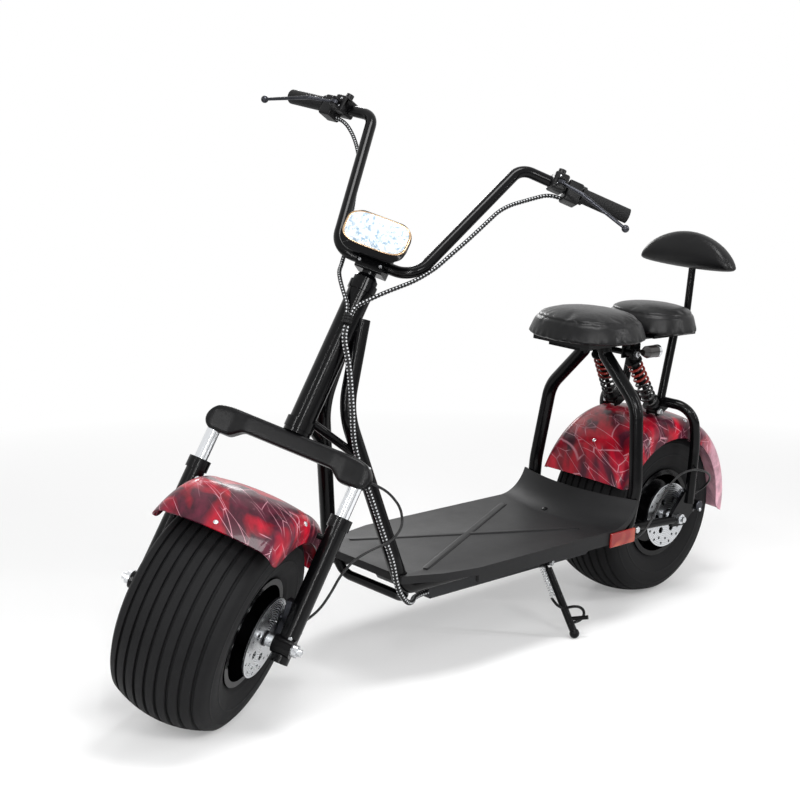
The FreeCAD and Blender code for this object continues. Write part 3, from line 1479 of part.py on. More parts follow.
def makeReflectors():
    """Reflectors on the rear ends of the tray's sides"""
    middle, level = DECK_EDGE + 12, float(d.rail_height) + 12
    outside = float(d.deck_half) + float(d.seat_gap)
    plate = boxShape((middle - 47, outside, level - 18), (middle + 47, outside + 6, level + 18))
    return Part.makeCompound(both(plate.makeFillet(2.5, plate.Edges)))


feature("side_reflectors", chassis, makeReflectors())


# Move the whole scooter so that its origin is under the middle of its box
document.recompute()
box = FreeCAD.BoundBox()
for thing in nodes:
    box.add(thing.Shape.optimalBoundingBox())
origin = shift(-box.Center.x, -box.Center.y, 0)
for thing in nodes:
    thing.Placement = origin.multiply(thing.Placement)
document.recompute()

# Every object has to be sound before anything is written
for thing in document.Objects:
    if "Invalid" in thing.State or "Error" in thing.State:
        raise ValueError(f"{thing.Label} failed: {thing.State}")
total = 0
for thing in nodes:
    shape = thing.Shape
    if shape.isNull() or not shape.isValid() or not shape.Solids:
        raise ValueError(f"{thing.Label} has no sound shape")
    shape.exportStep(f"parts/{thing.Label}.step")
    total += len(shape.Faces)
print("nodes", len(nodes), "faces", total)
print("box", [round(edge, 1) for edge in (box.XMin, box.XMax, box.YMin, box.YMax, box.ZMin, box.ZMax)])


def placed(place, point):
    return [round(value / 1000, 6) for value in origin.multiply(place).multVec(Vector(*point))]


def aimed(place, direction):
    return [round(value, 6) for value in origin.multiply(place).Rotation.multVec(Vector(*direction))]


mirrorPoint, mirrorUp = mirrorSeat()
print("places", json.dumps({
    "steering": [placed(steeringPlace, (0, 0, 0)), aimed(steeringPlace, (0, 0, 1))],
    "front_wheel": [placed(parked.multiply(frontHub), (0, 0, 0)), aimed(steeringPlace, (0, 1, 0))],
    "rear_wheel": [placed(parked, (0, 0, d.wheel_radius)), aimed(parked, (0, 1, 0))],
    "side_stand": [placed(standPlace, (0, 0, 0)), aimed(standPlace, (0, 1, 0))],
    "mirror_left": [placed(steeringPlace, mirrorPoint), aimed(steeringPlace, mirrorUp)],
    "mirror_right": [placed(steeringPlace, (mirrorPoint.x, -mirrorPoint.y, mirrorPoint.z)),
                     aimed(steeringPlace, (mirrorUp.x, -mirrorUp.y, mirrorUp.z))],
    "parked_origin": [placed(parked, (0, 0, 0)), aimed(parked, (1, 0, 0)), aimed(parked, (0, 1, 0))],
}))
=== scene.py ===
import json
import math

import bmesh
import bpy
import numpy as np
from mathutils import Matrix, Vector
from mathutils.bvhtree import BVHTree


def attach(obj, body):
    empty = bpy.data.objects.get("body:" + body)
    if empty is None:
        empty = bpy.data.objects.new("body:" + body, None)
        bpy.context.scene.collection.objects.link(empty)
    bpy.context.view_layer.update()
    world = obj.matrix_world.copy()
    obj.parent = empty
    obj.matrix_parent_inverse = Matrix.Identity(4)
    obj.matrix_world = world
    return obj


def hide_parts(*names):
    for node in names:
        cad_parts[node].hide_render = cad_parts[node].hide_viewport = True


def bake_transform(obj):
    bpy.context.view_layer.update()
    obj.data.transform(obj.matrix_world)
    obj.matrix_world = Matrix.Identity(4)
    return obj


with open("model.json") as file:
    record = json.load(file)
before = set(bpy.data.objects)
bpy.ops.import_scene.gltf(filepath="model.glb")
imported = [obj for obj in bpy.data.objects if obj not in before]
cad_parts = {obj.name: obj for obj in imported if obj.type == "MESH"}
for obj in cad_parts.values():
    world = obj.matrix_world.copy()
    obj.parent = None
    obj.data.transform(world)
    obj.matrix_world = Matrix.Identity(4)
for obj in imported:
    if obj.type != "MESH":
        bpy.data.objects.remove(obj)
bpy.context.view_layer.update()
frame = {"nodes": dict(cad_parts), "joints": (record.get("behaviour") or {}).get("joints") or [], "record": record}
print("frame loaded")


# Places: a 4 x 4 array whose columns are the axes and the origin, in metres
def placeOf(origin, y, z):
    y = np.array(y, float) / np.linalg.norm(y)
    x = np.cross(y, z)
    x /= np.linalg.norm(x)
    place = np.eye(4)
    place[:3, 0], place[:3, 1], place[:3, 2], place[:3, 3] = x, y, np.cross(x, y), origin
    return place


def put(place, points):
    # Turns points by the place's axes and adds its origin
    return np.asarray(points, float) @ place[:3, :3].T + place[:3, 3]


def ownPoints(place, points):
    # World points seen in the place's axes
    return (points - place[:3, 3]) @ place[:3, :3]


joints = {joint["name"]: (joint["pos_m"], joint["axis"]) for joint in frame["joints"]}
steerPos, steerAxis = joints["steering"]
frontPos, frontSpin = joints["front_wheel_spin"]
rearPos, rearSpin = joints["rear_wheel_spin"]
standPos, standAxis = joints["side_stand_fold"]
wheelRadius = 0.2275
leanUp = (0, 0.0698, 0.9976)
steerPlace = placeOf(steerPos, frontSpin, steerAxis)
frontPlace = placeOf(frontPos, frontSpin, steerAxis)
rearPlace = placeOf(rearPos, rearSpin, leanUp)
# The scooter's own upright frame, from the floor under the rear wheel, as it leans on its stand
bikePlace = rearPlace.copy()
bikePlace[:3, 3] = put(rearPlace, (0, 0, -wheelRadius))
places = {"steering": steerPlace, "bike": bikePlace}


# Camera: fitted to the photo in the upright frame of the scooter, so it leans with it
photoCamera = {"yaw": 133.31, "pitch": 12.06, "roll": 3.63, "distance": 3.370,
               "target": (0.6, 0.0, 0.5895), "lens": 65.36, "shift": (-0.1033, -0.0057)}


def makeCamera(values):
    yaw, pitch, roll = (math.radians(values[key]) for key in ("yaw", "pitch", "roll"))
    back = np.array((math.sin(yaw) * math.cos(pitch), -math.cos(yaw) * math.cos(pitch), math.sin(pitch)))
    right = np.cross((0, 0, 1), back)
    right /= np.linalg.norm(right)
    up = np.cross(back, right)
    across = math.cos(roll) * right + math.sin(roll) * up
    over = -math.sin(roll) * right + math.cos(roll) * up
    own = np.eye(4)
    own[:3, 0], own[:3, 1], own[:3, 2] = across, over, back
    own[:3, 3] = np.array(values["target"]) + back * values["distance"]
    data = bpy.data.cameras.new("photoView")
    data.lens = values["lens"]
    data.shift_x, data.shift_y = values["shift"]
    camera = bpy.data.objects.new("photoView", data)
    bpy.context.scene.collection.objects.link(camera)
    camera.matrix_world = Matrix((bikePlace @ own).tolist())
    bpy.context.scene.camera = camera


makeCamera(photoCamera)
bpy.context.scene.view_settings.view_transform = "Standard"


# Materials: nodes, colours and scales
def linear(code):
    # sRGB hex to linear light by the standard's curve
    shade = np.array([int(code[i:i + 2], 16) for i in (0, 2, 4)]) / 255
    light = np.where(shade <= 0.04045, shade / 12.92, ((shade + 0.055) / 1.055) ** 2.4)
    return (*light.tolist(), 1.0)


def feed(node, sockets):
    # A socket takes a number, an sRGB hex colour, another socket, or a node's first live output
    for key, value in sockets.items():
        if isinstance(value, bpy.types.Node):
            value = next(output for output in value.outputs if output.enabled)
        if isinstance(value, bpy.types.NodeSocket):
            node.id_data.links.new(value, node.inputs[key])
        else:
            node.inputs[key].default_value = linear(value) if isinstance(value, str) else value


def add(tree, kind, sockets=None, **settings):
    node = tree.nodes.new("ShaderNode" + kind)
    for key, value in settings.items():
        setattr(node, key, value)
    feed(node, sockets or {})
    return node


finishes = {}


def newFinish(key, name, sockets):
    # Keeps a new material under its key; gives back its tree, its shader and the Object coordinates
    material = bpy.data.materials.new(name)
    material.use_nodes = True
    finishes[key] = material
    tree = material.node_tree
    shader = tree.nodes["Principled BSDF"]
    feed(shader, sockets)
    return tree, shader, add(tree, "TexCoord").outputs["Object"]


def perMetre(millimetres):
    # Texture scale whose cell is this size
    return 1000 / millimetres


# Plain finishes: name, fixed sockets, the one or two base colours, the range of roughness, clouds that mix both
# (mm, detail, roughness), and the relief: pattern, cell in mm, its sockets, depth in metres and strength
plainFinishes = {
    # Gloss powder coat on steel tube: deep black, mirror-like, with a faint orange peel of 5 mm
    "powderCoat": ("powderCoatGlossBlack", {"Specular IOR Level": 0.14}, ["050506"], (0.12, 0.22), (60, 3.0, 0.5),
                   ("TexNoise", 5, {"Detail": 1.0}, 0.0002, 0.5)),
    # Enamel on the fork legs: black with a wet shine, slightly wavy
    "glossEnamel": ("enamelGlossBlack", {"Specular IOR Level": 0.16}, ["060607"], (0.14, 0.26), (40, 3.0, 0.5),
                    ("TexNoise", 2.5, {"Detail": 2.0}, 0.00015, 0.5)),
    # Satin black cast aluminium: sand-cast grain of 1.2 mm under paint, softer highlights
    "satinCast": ("castAluminiumSatinBlack", {"Specular IOR Level": 0.14}, ["080809", "111112"], (0.24, 0.4),
                  (25, 3.0, 0.5), ("TexNoise", 1.2, {"Detail": 4.0}, 0.0002, 0.5)),
    # Hard chrome on ground tube and trim: bright, with a light haze
    "chrome": ("hardChromeGround", {"Metallic": 1.0}, ["dcdee1"], (0.05, 0.14), (30, 3.0, 0.5), None),
    # Moulded polypropylene, charcoal: matt with a spark-eroded grain of 1.8 mm and scuffs
    "deckPlastic": ("mouldedPolypropyleneCharcoal", {"Specular IOR Level": 0.15}, ["131314", "202021"],
                    (0.36, 0.56), (90, 5.0, 0.65), ("TexVoronoi", 1.8, {}, 0.00025, 0.5)),
    # Painted sheet steel, dark grey satin: battery box
    "boxPaint": ("paintedSteelDarkGrey", {"Specular IOR Level": 0.15}, ["1c1d1f", "2c2d2f"], (0.42, 0.42),
                 (120, 4.0, 0.5), ("TexNoise", 3, {"Detail": 2.0}, 0.0002, 0.4)),
    # Vulcanised tyre rubber: matt black, a little grey bloom, mould texture of 2 mm
    "tyreRubber": ("vulcanisedRubber", {"Specular IOR Level": 0.1}, ["0c0c0d", "1b1b1c"], (0.5, 0.75),
                   (50, 5.0, 0.65), ("TexNoise", 2, {"Detail": 2.0}, 0.0003, 0.5)),
    # Grip rubber: softer and darker than the tyres, with moulded pips 4 mm apart
    "gripRubber": ("thermoplasticRubberBlack", {"Specular IOR Level": 0.18}, ["0b0b0c"], (0.4, 0.6), (8, 3.0, 0.5),
                   ("TexVoronoi", 4, {"Randomness": 0.1}, 0.0012, 0.8)),
    # Glass-filled nylon: switch housings and lever clamps, satin black with a grain of 1 mm
    "nylon": ("glassFilledNylonBlack", {"Specular IOR Level": 0.18}, ["0b0b0c"], (0.28, 0.44), (14, 3.0, 0.5),
              ("TexNoise", 1, {"Detail": 3.0}, 0.00015, 0.5)),
    # Anodised aluminium, dark: calipers and levers, with a blasted haze
    "anodised": ("anodisedAluminiumBlack", {"Metallic": 1.0}, ["2c2d31", "45464b"], (0.22, 0.38), (16, 3.0, 0.5),
                 None),
    # Extruded brake hose: smooth black rubber with a dull shine
    "hoseRubber": ("extrudedHoseRubber", {"Specular IOR Level": 0.3}, ["0e0e0f"], (0.3, 0.46), (12, 3.0, 0.5),
                   ("TexNoise", 2, {"Detail": 3.0}, 0.0001, 0.4)),
    # Zinc-plated steel fasteners: pale grey metal, slightly mottled
    "zinc": ("zincPlatedSteel", {"Metallic": 1.0}, ["a9abae", "d6d8da"], (0.2, 0.38), (4, 3.0, 0.5), None),
    # Champagne plated trim of the headlamp: warm metal with a soft haze
    "lampTrim": ("platedTrimChampagne", {"Metallic": 1.0}, ["c2a483"], (0.16, 0.3), (12, 2.0, 0.5), None),
}
for key, (name, sockets, colours, gloss, (size, detail, rough), relief) in plainFinishes.items():
    tree, shader, place = newFinish(key, name, sockets)
    haze = add(tree, "TexNoise", {"Vector": place, "Scale": perMetre(size), "Detail": detail, "Roughness": rough})
    colour, shine = colours[0], gloss[0]
    if len(colours) > 1:
        colour = add(tree, "Mix", {0: haze, 6: colours[0], 7: colours[1]}, data_type="RGBA")
    if gloss[1] > gloss[0]:
        shine = add(tree, "MapRange", {"Value": haze, "To Min": gloss[0], "To Max": gloss[1]})
    feed(shader, {"Base Color": colour, "Roughness": shine})
    if relief:
        kind, size, sockets, depth, strength = relief
        grain = add(tree, kind, {"Vector": place, "Scale": perMetre(size), **sockets})
        feed(shader, {"Normal": add(tree, "Bump", {"Height": grain, "Distance": depth, "Strength": strength})})

# ABS mudguard under a gloss film: broad red and maroon strokes about 60 mm wide that run aslant, long thin
# pale scratches 26 and 40 mm apart over them, and a bleached pink tail at the back of the rear one. Painted shade
# turns the strokes darker maroon towards the left side of the front one and the back of the rear one
film = {"turn": (0.45, -0.5, 0.2), "stretch": (1.0, 1.0, 3.4), "scratchTurn": (0.7, -0.9, 0.5),
        "scratchStretch": (1.0, 1.0, 5.0), "scratches": ((40, 0.022, 0.0), (26, 0.02, 0.37)),
        "dusk": (0.02, 0.14), "duskBack": (-0.56, -0.72), "duskShare": -0.1, "tail": (-0.76, -0.87)}
tree, shader, place = newFinish("guardFilm", "marbledAbsRed", {
    "Roughness": 0.3, "Specular IOR Level": 0.12, "Coat Weight": 0.14, "Coat Roughness": 0.06})
aslant = add(tree, "Mapping", {"Vector": place, "Rotation": film["turn"], "Scale": film["stretch"]},
             vector_type="TEXTURE")
strokes = add(tree, "TexNoise", {"Vector": aslant, "Scale": perMetre(58), "Detail": 2.5, "Roughness": 0.5,
                                 "Distortion": 0.5})
spot = add(tree, "SeparateXYZ", {0: place}).outputs
# Painted shade: the strokes turn darker maroon towards the left side of the front guard and towards the back of
# the rear one
dusk = add(tree, "MapRange", {"Value": spot["Y"], "From Min": film["dusk"][0], "From Max": film["dusk"][1]})
ahead = add(tree, "Math", {0: spot["X"], 1: 0.0}, operation="GREATER_THAN")
dusk = add(tree, "Math", {0: dusk, 1: ahead}, operation="MULTIPLY")
duskBack = add(tree, "MapRange", {"Value": spot["X"], "From Min": film["duskBack"][0],
                                  "From Max": film["duskBack"][1], "To Max": 0.8})
dusk = add(tree, "Math", {0: dusk, 1: duskBack}, operation="MAXIMUM")
strokes = add(tree, "Math", {0: dusk, 1: film["duskShare"], 2: strokes}, operation="MULTIPLY_ADD")
strokes = add(tree, "MapRange", {"Value": strokes, "From Min": 0.42, "From Max": 0.58})
shades = add(tree, "TexNoise", {"Vector": aslant, "Scale": perMetre(26), "Detail": 3.0, "Roughness": 0.6})
shades = add(tree, "MapRange", {"Value": shades, "From Min": 0.35, "From Max": 0.7})
dark = add(tree, "Mix", {0: shades, 6: "2c0c18", 7: "521a2b"}, data_type="RGBA")
bright = add(tree, "Mix", {0: shades, 6: "8e0a1d", 7: "b8142c"}, data_type="RGBA")
reds = add(tree, "Mix", {0: strokes, 6: dark, 7: bright}, data_type="RGBA")
across = add(tree, "Mapping", {"Vector": place, "Rotation": film["scratchTurn"],
                               "Scale": film["scratchStretch"]}, vector_type="TEXTURE")
for cell, width, shift in film["scratches"]:
    moved = add(tree, "Mapping", {"Vector": across, "Location": (shift, shift, 0.0),
                                  "Rotation": (0.0, shift, 0.0)})
    edges = add(tree, "TexVoronoi", {"Vector": moved, "Scale": perMetre(cell)}, feature="DISTANCE_TO_EDGE")
    broken = add(tree, "TexNoise", {"Vector": moved, "Scale": perMetre(35), "Detail": 1.0})
    broken = add(tree, "MapRange", {"Value": broken, "From Min": 0.44, "From Max": 0.58, "To Max": 0.8})
    line = add(tree, "MapRange", {"Value": edges, "From Max": width, "To Min": 1.0, "To Max": 0.0})
    line = add(tree, "Math", {0: line, 1: broken}, operation="MULTIPLY")
    reds = add(tree, "Mix", {0: line, 6: reds, 7: "c58d99"}, data_type="RGBA")
tail = add(tree, "MapRange", {"Value": spot["X"], "From Min": film["tail"][0], "From Max": film["tail"][1],
                              "To Max": 0.95})
faded = add(tree, "MapRange", {"Value": shades, "To Min": 0.45})
tail = add(tree, "Math", {0: tail, 1: faded}, operation="MULTIPLY")
feed(shader, {"Base Color": add(tree, "Mix", {0: tail, 6: reds, 7: "f0bccb"}, data_type="RGBA")})

# Upholstery vinyl, black: fine leather grain of 1.6 mm, a satin shine, slightly greyer where it is rubbed
tree, shader, place = newFinish("vinyl", "upholsteryVinylBlack", {"Specular IOR Level": 0.22})
rubbed = add(tree, "TexNoise", {"Vector": place, "Scale": perMetre(70), "Detail": 4.0, "Roughness": 0.6})
grain = add(tree, "TexVoronoi", {"Vector": place, "Scale": perMetre(1.6)}, feature="DISTANCE_TO_EDGE")
grain = add(tree, "MapRange", {"Value": grain, "From Max": 0.25})
feed(shader, {"Base Color": add(tree, "Mix", {0: rubbed, 6: "070708", 7: "101011"}, data_type="RGBA"),
              "Roughness": add(tree, "MapRange", {"Value": rubbed, "To Min": 0.26, "To Max": 0.38}),
              "Normal": add(tree, "Bump", {"Height": grain, "Distance": 0.00012, "Strength": 0.5})})

# Braided polyester sleeve over the wires: black yarn with pale ticks, a net of diamonds 7.5 mm long. The UV
# runs in metres along it and in turns round it; two sets of helices cross where their sines agree
braid = {"pitch": 0.015, "starts": 2}
tree, shader, place = newFinish("loomSleeve", "braidedPolyesterSleeve", {"Roughness": 0.65,
                                                                         "Specular IOR Level": 0.3})
run = add(tree, "SeparateXYZ", {0: add(tree, "TexCoord").outputs["UV"]})
helices = []
for hand in (1, -1):
    turns = add(tree, "Math", {0: run.outputs["Y"], 1: hand * math.tau * braid["starts"]},
                operation="MULTIPLY")
    phase = add(tree, "Math", {0: run.outputs["X"], 1: math.tau / braid["pitch"], 2: turns},
                operation="MULTIPLY_ADD")
    helices.append(add(tree, "Math", {0: phase}, operation="SINE"))
weave = add(tree, "Math", {0: helices[0], 1: helices[1]}, operation="MULTIPLY")
ticks = add(tree, "MapRange", {"Value": weave, "From Min": 0.35, "From Max": 0.6})
feed(shader, {"Base Color": add(tree, "Mix", {0: ticks, 6: "0c0c0d", 7: "b9bbbd"}, data_type="RGBA"),
              "Normal": add(tree, "Bump", {"Height": weave, "Distance": 0.0008, "Strength": 0.9})})

# Reflector: orange-red acrylic with moulded prisms 3.4 mm wide
tree, shader, place = newFinish("reflector", "prismAcrylicRed", {"Roughness": 0.16, "Specular IOR Level": 0.4})
prisms = add(tree, "TexVoronoi", {"Vector": place, "Scale": perMetre(3.4), "Randomness": 0.0})
fade = add(tree, "TexNoise", {"Vector": place, "Scale": perMetre(45), "Detail": 1.0})
shade = add(tree, "Mix", {0: add(tree, "MapRange", {"Value": fade, "From Min": 0.4, "From Max": 0.62}),
                          6: "8e1b18", 7: "c8684a"}, data_type="RGBA")
feed(shader, {"Base Color": add(tree, "Mix", {0: prisms, 6: shade, 7: "6c1212"}, data_type="RGBA"),
              "Normal": add(tree, "Bump", {"Height": prisms, "Distance": 0.0008, "Strength": 0.7})})

# Spring steel, powder coated: the close coils above are brown-red, the open ones below black and shiny
tree, shader, place = newFinish("springs", "coatedSpringSteel", {"Roughness": 0.22, "Specular IOR Level": 0.45})
height = add(tree, "SeparateXYZ", {0: place}).outputs["Z"]
wear = add(tree, "TexNoise", {"Vector": place, "Scale": perMetre(9), "Detail": 3.0})
reds = add(tree, "Mix", {0: wear, 6: "5c150f", 7: "8c2217"}, data_type="RGBA")
upper = add(tree, "MapRange", {"Value": height, "From Min": 0.570, "From Max": 0.576})
feed(shader, {"Base Color": add(tree, "Mix", {0: upper, 6: "0e0e0f", 7: reds}, data_type="RGBA")})

# Headlamp lens: clear polycarbonate over a bright reflector, whose light is painted into the lens as a white base
# colour (painted reflection), with pressed pillows of 11 mm whose edges carry a painted reflection of blue sky
tree, shader, place = newFinish("lampLens", "pressedPolycarbonateWhite", {
    "Roughness": 0.1, "IOR": 1.585, "Transmission Weight": 0.15})
pillows = add(tree, "TexVoronoi", {"Vector": place, "Scale": perMetre(11)}, feature="SMOOTH_F1")
paintedSkySpecks = add(tree, "TexNoise", {"Vector": place, "Scale": perMetre(9), "Detail": 4.0, "Roughness": 0.7})
paintedSkySpecks = add(tree, "MapRange", {"Value": paintedSkySpecks, "From Min": 0.44, "From Max": 0.58})
edge = add(tree, "MapRange", {"Value": pillows, "From Min": 0.15, "From Max": 0.5})
paintedSkyReflection = add(tree, "Math", {0: paintedSkySpecks, 1: edge}, operation="MULTIPLY")
# Painted reflection: the white base colour stands in for the reflector's light, and the blue specks at the
# pillows' edges for a reflected sky
feed(shader, {"Base Color": add(tree, "Mix", {0: paintedSkyReflection, 6: "e4eaf0", 7: "8fa8bd"}, data_type="RGBA"),
              "Normal": add(tree, "Bump", {"Height": pillows, "Distance": 0.003, "Strength": 0.9})})

# Smoked lamp barrels: almost black polycarbonate with a faint ripple of 3 mm
tree, shader, place = newFinish("smoked", "smokedPolycarbonate", {
    "Base Color": "1d1918", "Roughness": 0.1, "IOR": 1.585, "Transmission Weight": 0.2})
ripple = add(tree, "TexNoise", {"Vector": place, "Scale": perMetre(3), "Detail": 3.0})
feed(shader, {"Normal": add(tree, "Bump", {"Height": ripple, "Distance": 0.0004, "Strength": 0.6})})

# Frosted acrylic end of a turn lamp: pale grey with prisms 3 mm wide
tree, shader, place = newFinish("paleLens", "frostedAcrylicPale", {
    "Roughness": 0.2, "IOR": 1.49, "Transmission Weight": 0.2})
prisms = add(tree, "TexVoronoi", {"Vector": place, "Scale": perMetre(3)})
feed(shader, {"Base Color": add(tree, "Mix", {0: prisms, 6: "d4d6d8", 7: "8f9296"}, data_type="RGBA"),
              "Normal": add(tree, "Bump", {"Height": prisms, "Distance": 0.0006, "Strength": 0.6})})

# Stainless brake discs: bright, turned in fine circles 0.8 mm apart round each wheel's axle
for key, name, centre in (("frontDisc", "turnedStainlessFront", frontPlace),
                          ("rearDisc", "turnedStainlessRear", rearPlace)):
    tree, shader, place = newFinish(key, name, {"Metallic": 1.0, "Anisotropic": 0.5})
    own = add(tree, "Mapping", {"Vector": place, "Location": centre[:3, 3].tolist(),
                                "Rotation": Matrix(centre[:3, :3].tolist()).to_euler()}, vector_type="TEXTURE")
    # A wave texture repeats 20 times in a unit of its scale
    rings = add(tree, "TexWave", {"Vector": own, "Scale": perMetre(0.8) / 20, "Distortion": 1.5,
                                  "Detail": 2.0}, wave_type="RINGS", rings_direction="Y")
    feed(shader, {"Base Color": add(tree, "Mix", {0: rings, 6: "a6a8ab", 7: "cfd1d3"}, data_type="RGBA"),
                  "Roughness": add(tree, "MapRange", {"Value": rings, "To Min": 0.2, "To Max": 0.36}),
                  "Normal": add(tree, "Bump", {"Height": rings, "Distance": 0.0001, "Strength": 0.4})})

nodeFinish = {
    "powderCoat": ["front_frame", "deck_frame", "seat_frame", "swingarm", "rear_seat_support", "backrest_post",
                   "handlebar", "steering_stem", "bar_clamp", "side_stand", "stand_bracket", "headlamp_shell",
                   "front_rim", "rear_rim"],
    "glossEnamel": ["fork_lowers"],
    "satinCast": ["fork_bridge"],
    "chrome": ["fork_stanchions"],
    "zinc": ["front_axle", "rear_axle"],
    "deckPlastic": ["deck_tray"],
    "boxPaint": ["battery_box"],
    "guardFilm": ["front_mudguard", "rear_mudguard"],
    "vinyl": ["front_seat", "rear_seat", "backrest_pad"],
    "nylon": ["front_seat_pan", "switch_housings", "lever_perches", "shocks"],
    "anodised": ["front_caliper", "rear_caliper", "brake_levers"],
    "springs": ["shock_springs"],
    "lampLens": ["headlamp_lens"],
    "smoked": ["turn_signals"],
    "gripRubber": ["grips"],
    "tyreRubber": ["front_tyre", "rear_tyre"],
    "frontDisc": ["front_disc"],
    "rearDisc": ["rear_disc"],
    "loomSleeve": ["bar_looms", "steering_loom", "frame_loom"],
    "hoseRubber": ["front_brake_hose", "rear_brake_hose"],
    "reflector": ["side_reflectors", "tail_lamp"],
}
for key, names in nodeFinish.items():
    for name in names:
        frame["nodes"][name].data.materials.clear()
        frame["nodes"][name].data.materials.append(finishes[key])
print("finishes given")


# Surfaces: grids of points joined into quads
def readPoints(mesh):
    points = np.empty(len(mesh.vertices) * 3)
    mesh.vertices.foreach_get("co", points)
    return points.reshape(-1, 3)


def writePoints(mesh, points):
    mesh.vertices.foreach_set("co", np.asarray(points).ravel())
    mesh.update()


def gridFaces(rows, columns, wrapRows, wrapColumns, start):
    # Corner numbers of every quad: row i, column j, and their next neighbours
    i = np.arange(rows if wrapRows else rows - 1)[:, None]
    j = np.arange(columns if wrapColumns else columns - 1)[None, :]
    below, beside = (i + 1) % rows, (j + 1) % columns
    quads = [i * columns + j, below * columns + j, below * columns + beside, i * columns + beside]
    return np.stack(quads, -1).reshape(-1, 4) + start


def makePiece(name, finish, body, grids, sharp=None):
    # Grids are (points, wrap rows, wrap columns) or have their UV as well; all are joined into one mesh
    verts, faces, runs, count = [], [], [], 0
    for points, wrapRows, wrapColumns, *uv in grids:
        rows, columns = points.shape[:2]
        verts.append(points.reshape(-1, 3))
        faces.append(gridFaces(rows, columns, wrapRows, wrapColumns, count))
        runs.append(uv[0].reshape(-1, 2) if uv else np.zeros((rows * columns, 2)))
        count += rows * columns
    mesh = bpy.data.meshes.new(name)
    mesh.from_pydata(np.concatenate(verts).tolist(), [], np.concatenate(faces).tolist())
    corners = np.empty(len(mesh.loops), np.int32)
    mesh.loops.foreach_get("vertex_index", corners)
    mesh.uv_layers.new(name="run").data.foreach_set("uv", np.concatenate(runs)[corners].ravel())
    work = bmesh.new()
    work.from_mesh(mesh)
    bmesh.ops.remove_doubles(work, verts=work.verts, dist=1e-6)
    bmesh.ops.dissolve_degenerate(work, edges=work.edges, dist=1e-7)
    bmesh.ops.recalc_face_normals(work, faces=work.faces)
    work.to_mesh(mesh)
    work.free()
    mesh.materials.append(finishes[finish])
    mesh.shade_smooth()
    if sharp:
        mesh.set_sharp_from_angle(angle=math.radians(sharp))
    piece = bpy.data.objects.new(name, mesh)
    bpy.context.scene.collection.objects.link(piece)
    if body:
        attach(piece, body)
    return piece


def squaredOval(angle, power):
    # Cosine and sine whose size is raised to a power: 1 gives a circle, 2/n the curve |y|^n + |z|^n = 1
    cosine, sine = np.cos(angle), np.sin(angle)
    return np.sign(cosine) * np.abs(cosine) ** power, np.sign(sine) * np.abs(sine) ** power


def turnedGrid(place, profile, segments):
    # Each profile point (radius, height along Y) is swept round the place's Y axis
    profile = np.asarray(profile, float)
    angle = np.linspace(0, 2 * math.pi, segments, endpoint=False)[:, None]
    radius, height = profile[:, 0][None, :], profile[:, 1][None, :]
    points = np.stack([radius * np.cos(angle), height + 0 * angle, -radius * np.sin(angle)], -1)
    return put(place, points), True, False


def sweptGrid(line, radius, sides, across):
    # A circle square to the line is carried along it, and closes to a point at both ends; UV is run and turns
    along = np.gradient(line, axis=0)
    along /= np.linalg.norm(along, axis=1, keepdims=True)
    side = np.cross(along, across)
    side /= np.linalg.norm(side, axis=1, keepdims=True)
    over = np.cross(side, along)
    turn = np.linspace(0, 1, sides + 1)[None, :, None]
    ring = np.cos(math.tau * turn) * side[:, None] + np.sin(math.tau * turn) * over[:, None]
    points = line[:, None] + radius * ring
    first, last = line[:1, None] + 0 * points[:1], line[-1:, None] + 0 * points[-1:]
    run = np.concatenate([[0], np.cumsum(np.linalg.norm(np.diff(line, axis=0), axis=1))])
    run = np.concatenate([run[:1], run, run[-1:]])[:, None] + 0 * turn[:, :, 0]
    return np.concatenate([first, points, last]), False, False, np.stack([run, turn[:, :, 0] + 0 * run], -1)


# Tyres: nine plain ribs on a round crown, and a ringed side wall
tyre = {"crown": wheelRadius, "crownHalf": 0.098, "half": 0.111, "seat": 0.108, "bead": 0.091,
        "grooves": 8, "pitch": 0.0235, "grooveHalf": 0.0032, "grooveDeep": 0.006, "lip": 0.0008, "slope": 0.0006,
        "lipDeep": 0.001, "rings": (0.188, 0.158, 0.128), "ringHigh": 0.0012, "ringHalf": 0.0016,
        "segments": 224}


def tyreProfile(values):
    # Half crown from the middle out: height of a circle, less the groove's depth, then the side wall's curve, a
    # Bezier of third order with bell-shaped rings
    half, lip, slope = (values[key] for key in ("grooveHalf", "lip", "slope"))
    groove = [(-half - lip, 0.0), (-half, values["lipDeep"]), (slope - half, values["grooveDeep"]),
              (half - slope, values["grooveDeep"]), (half, values["lipDeep"]), (half + lip, 0.0)]
    ribs = [(0.0, 0.0)]
    for index in range(values["grooves"] // 2):
        ribs += [((index + 0.5) * values["pitch"] + aside, deep) for aside, deep in groove]
        ribs.append(((index + 1) * values["pitch"], 0.0))
    ribs = np.array([rib for rib in ribs if rib[0] < values["crownHalf"] - 0.003])
    tread = np.stack([np.sqrt(values["crown"] ** 2 - ribs[:, 0] ** 2) - ribs[:, 1], ribs[:, 0]], -1)
    edge = math.sqrt(values["crown"] ** 2 - values["crownHalf"] ** 2)
    t = np.linspace(0, 1, 40)[:, None]
    start, bulge = np.array((edge, values["crownHalf"])), np.array((edge - 0.02, values["half"] + 0.006))
    low = np.array((values["seat"] + 0.032, values["half"] + 0.001))
    end = np.array((values["seat"] + 0.006, values["bead"]))
    wall = (1 - t) ** 3 * start + 3 * (1 - t) ** 2 * t * bulge + 3 * (1 - t) * t ** 2 * low + t ** 3 * end
    bells = np.exp(-((wall[:, :1] - np.array([values["rings"]])) / values["ringHalf"]) ** 2)
    wall[:, 1] += values["ringHigh"] * bells.sum(1)
    inner = np.array([(values["seat"] + 0.0002, values["bead"])])
    return np.concatenate([tread, wall, inner])


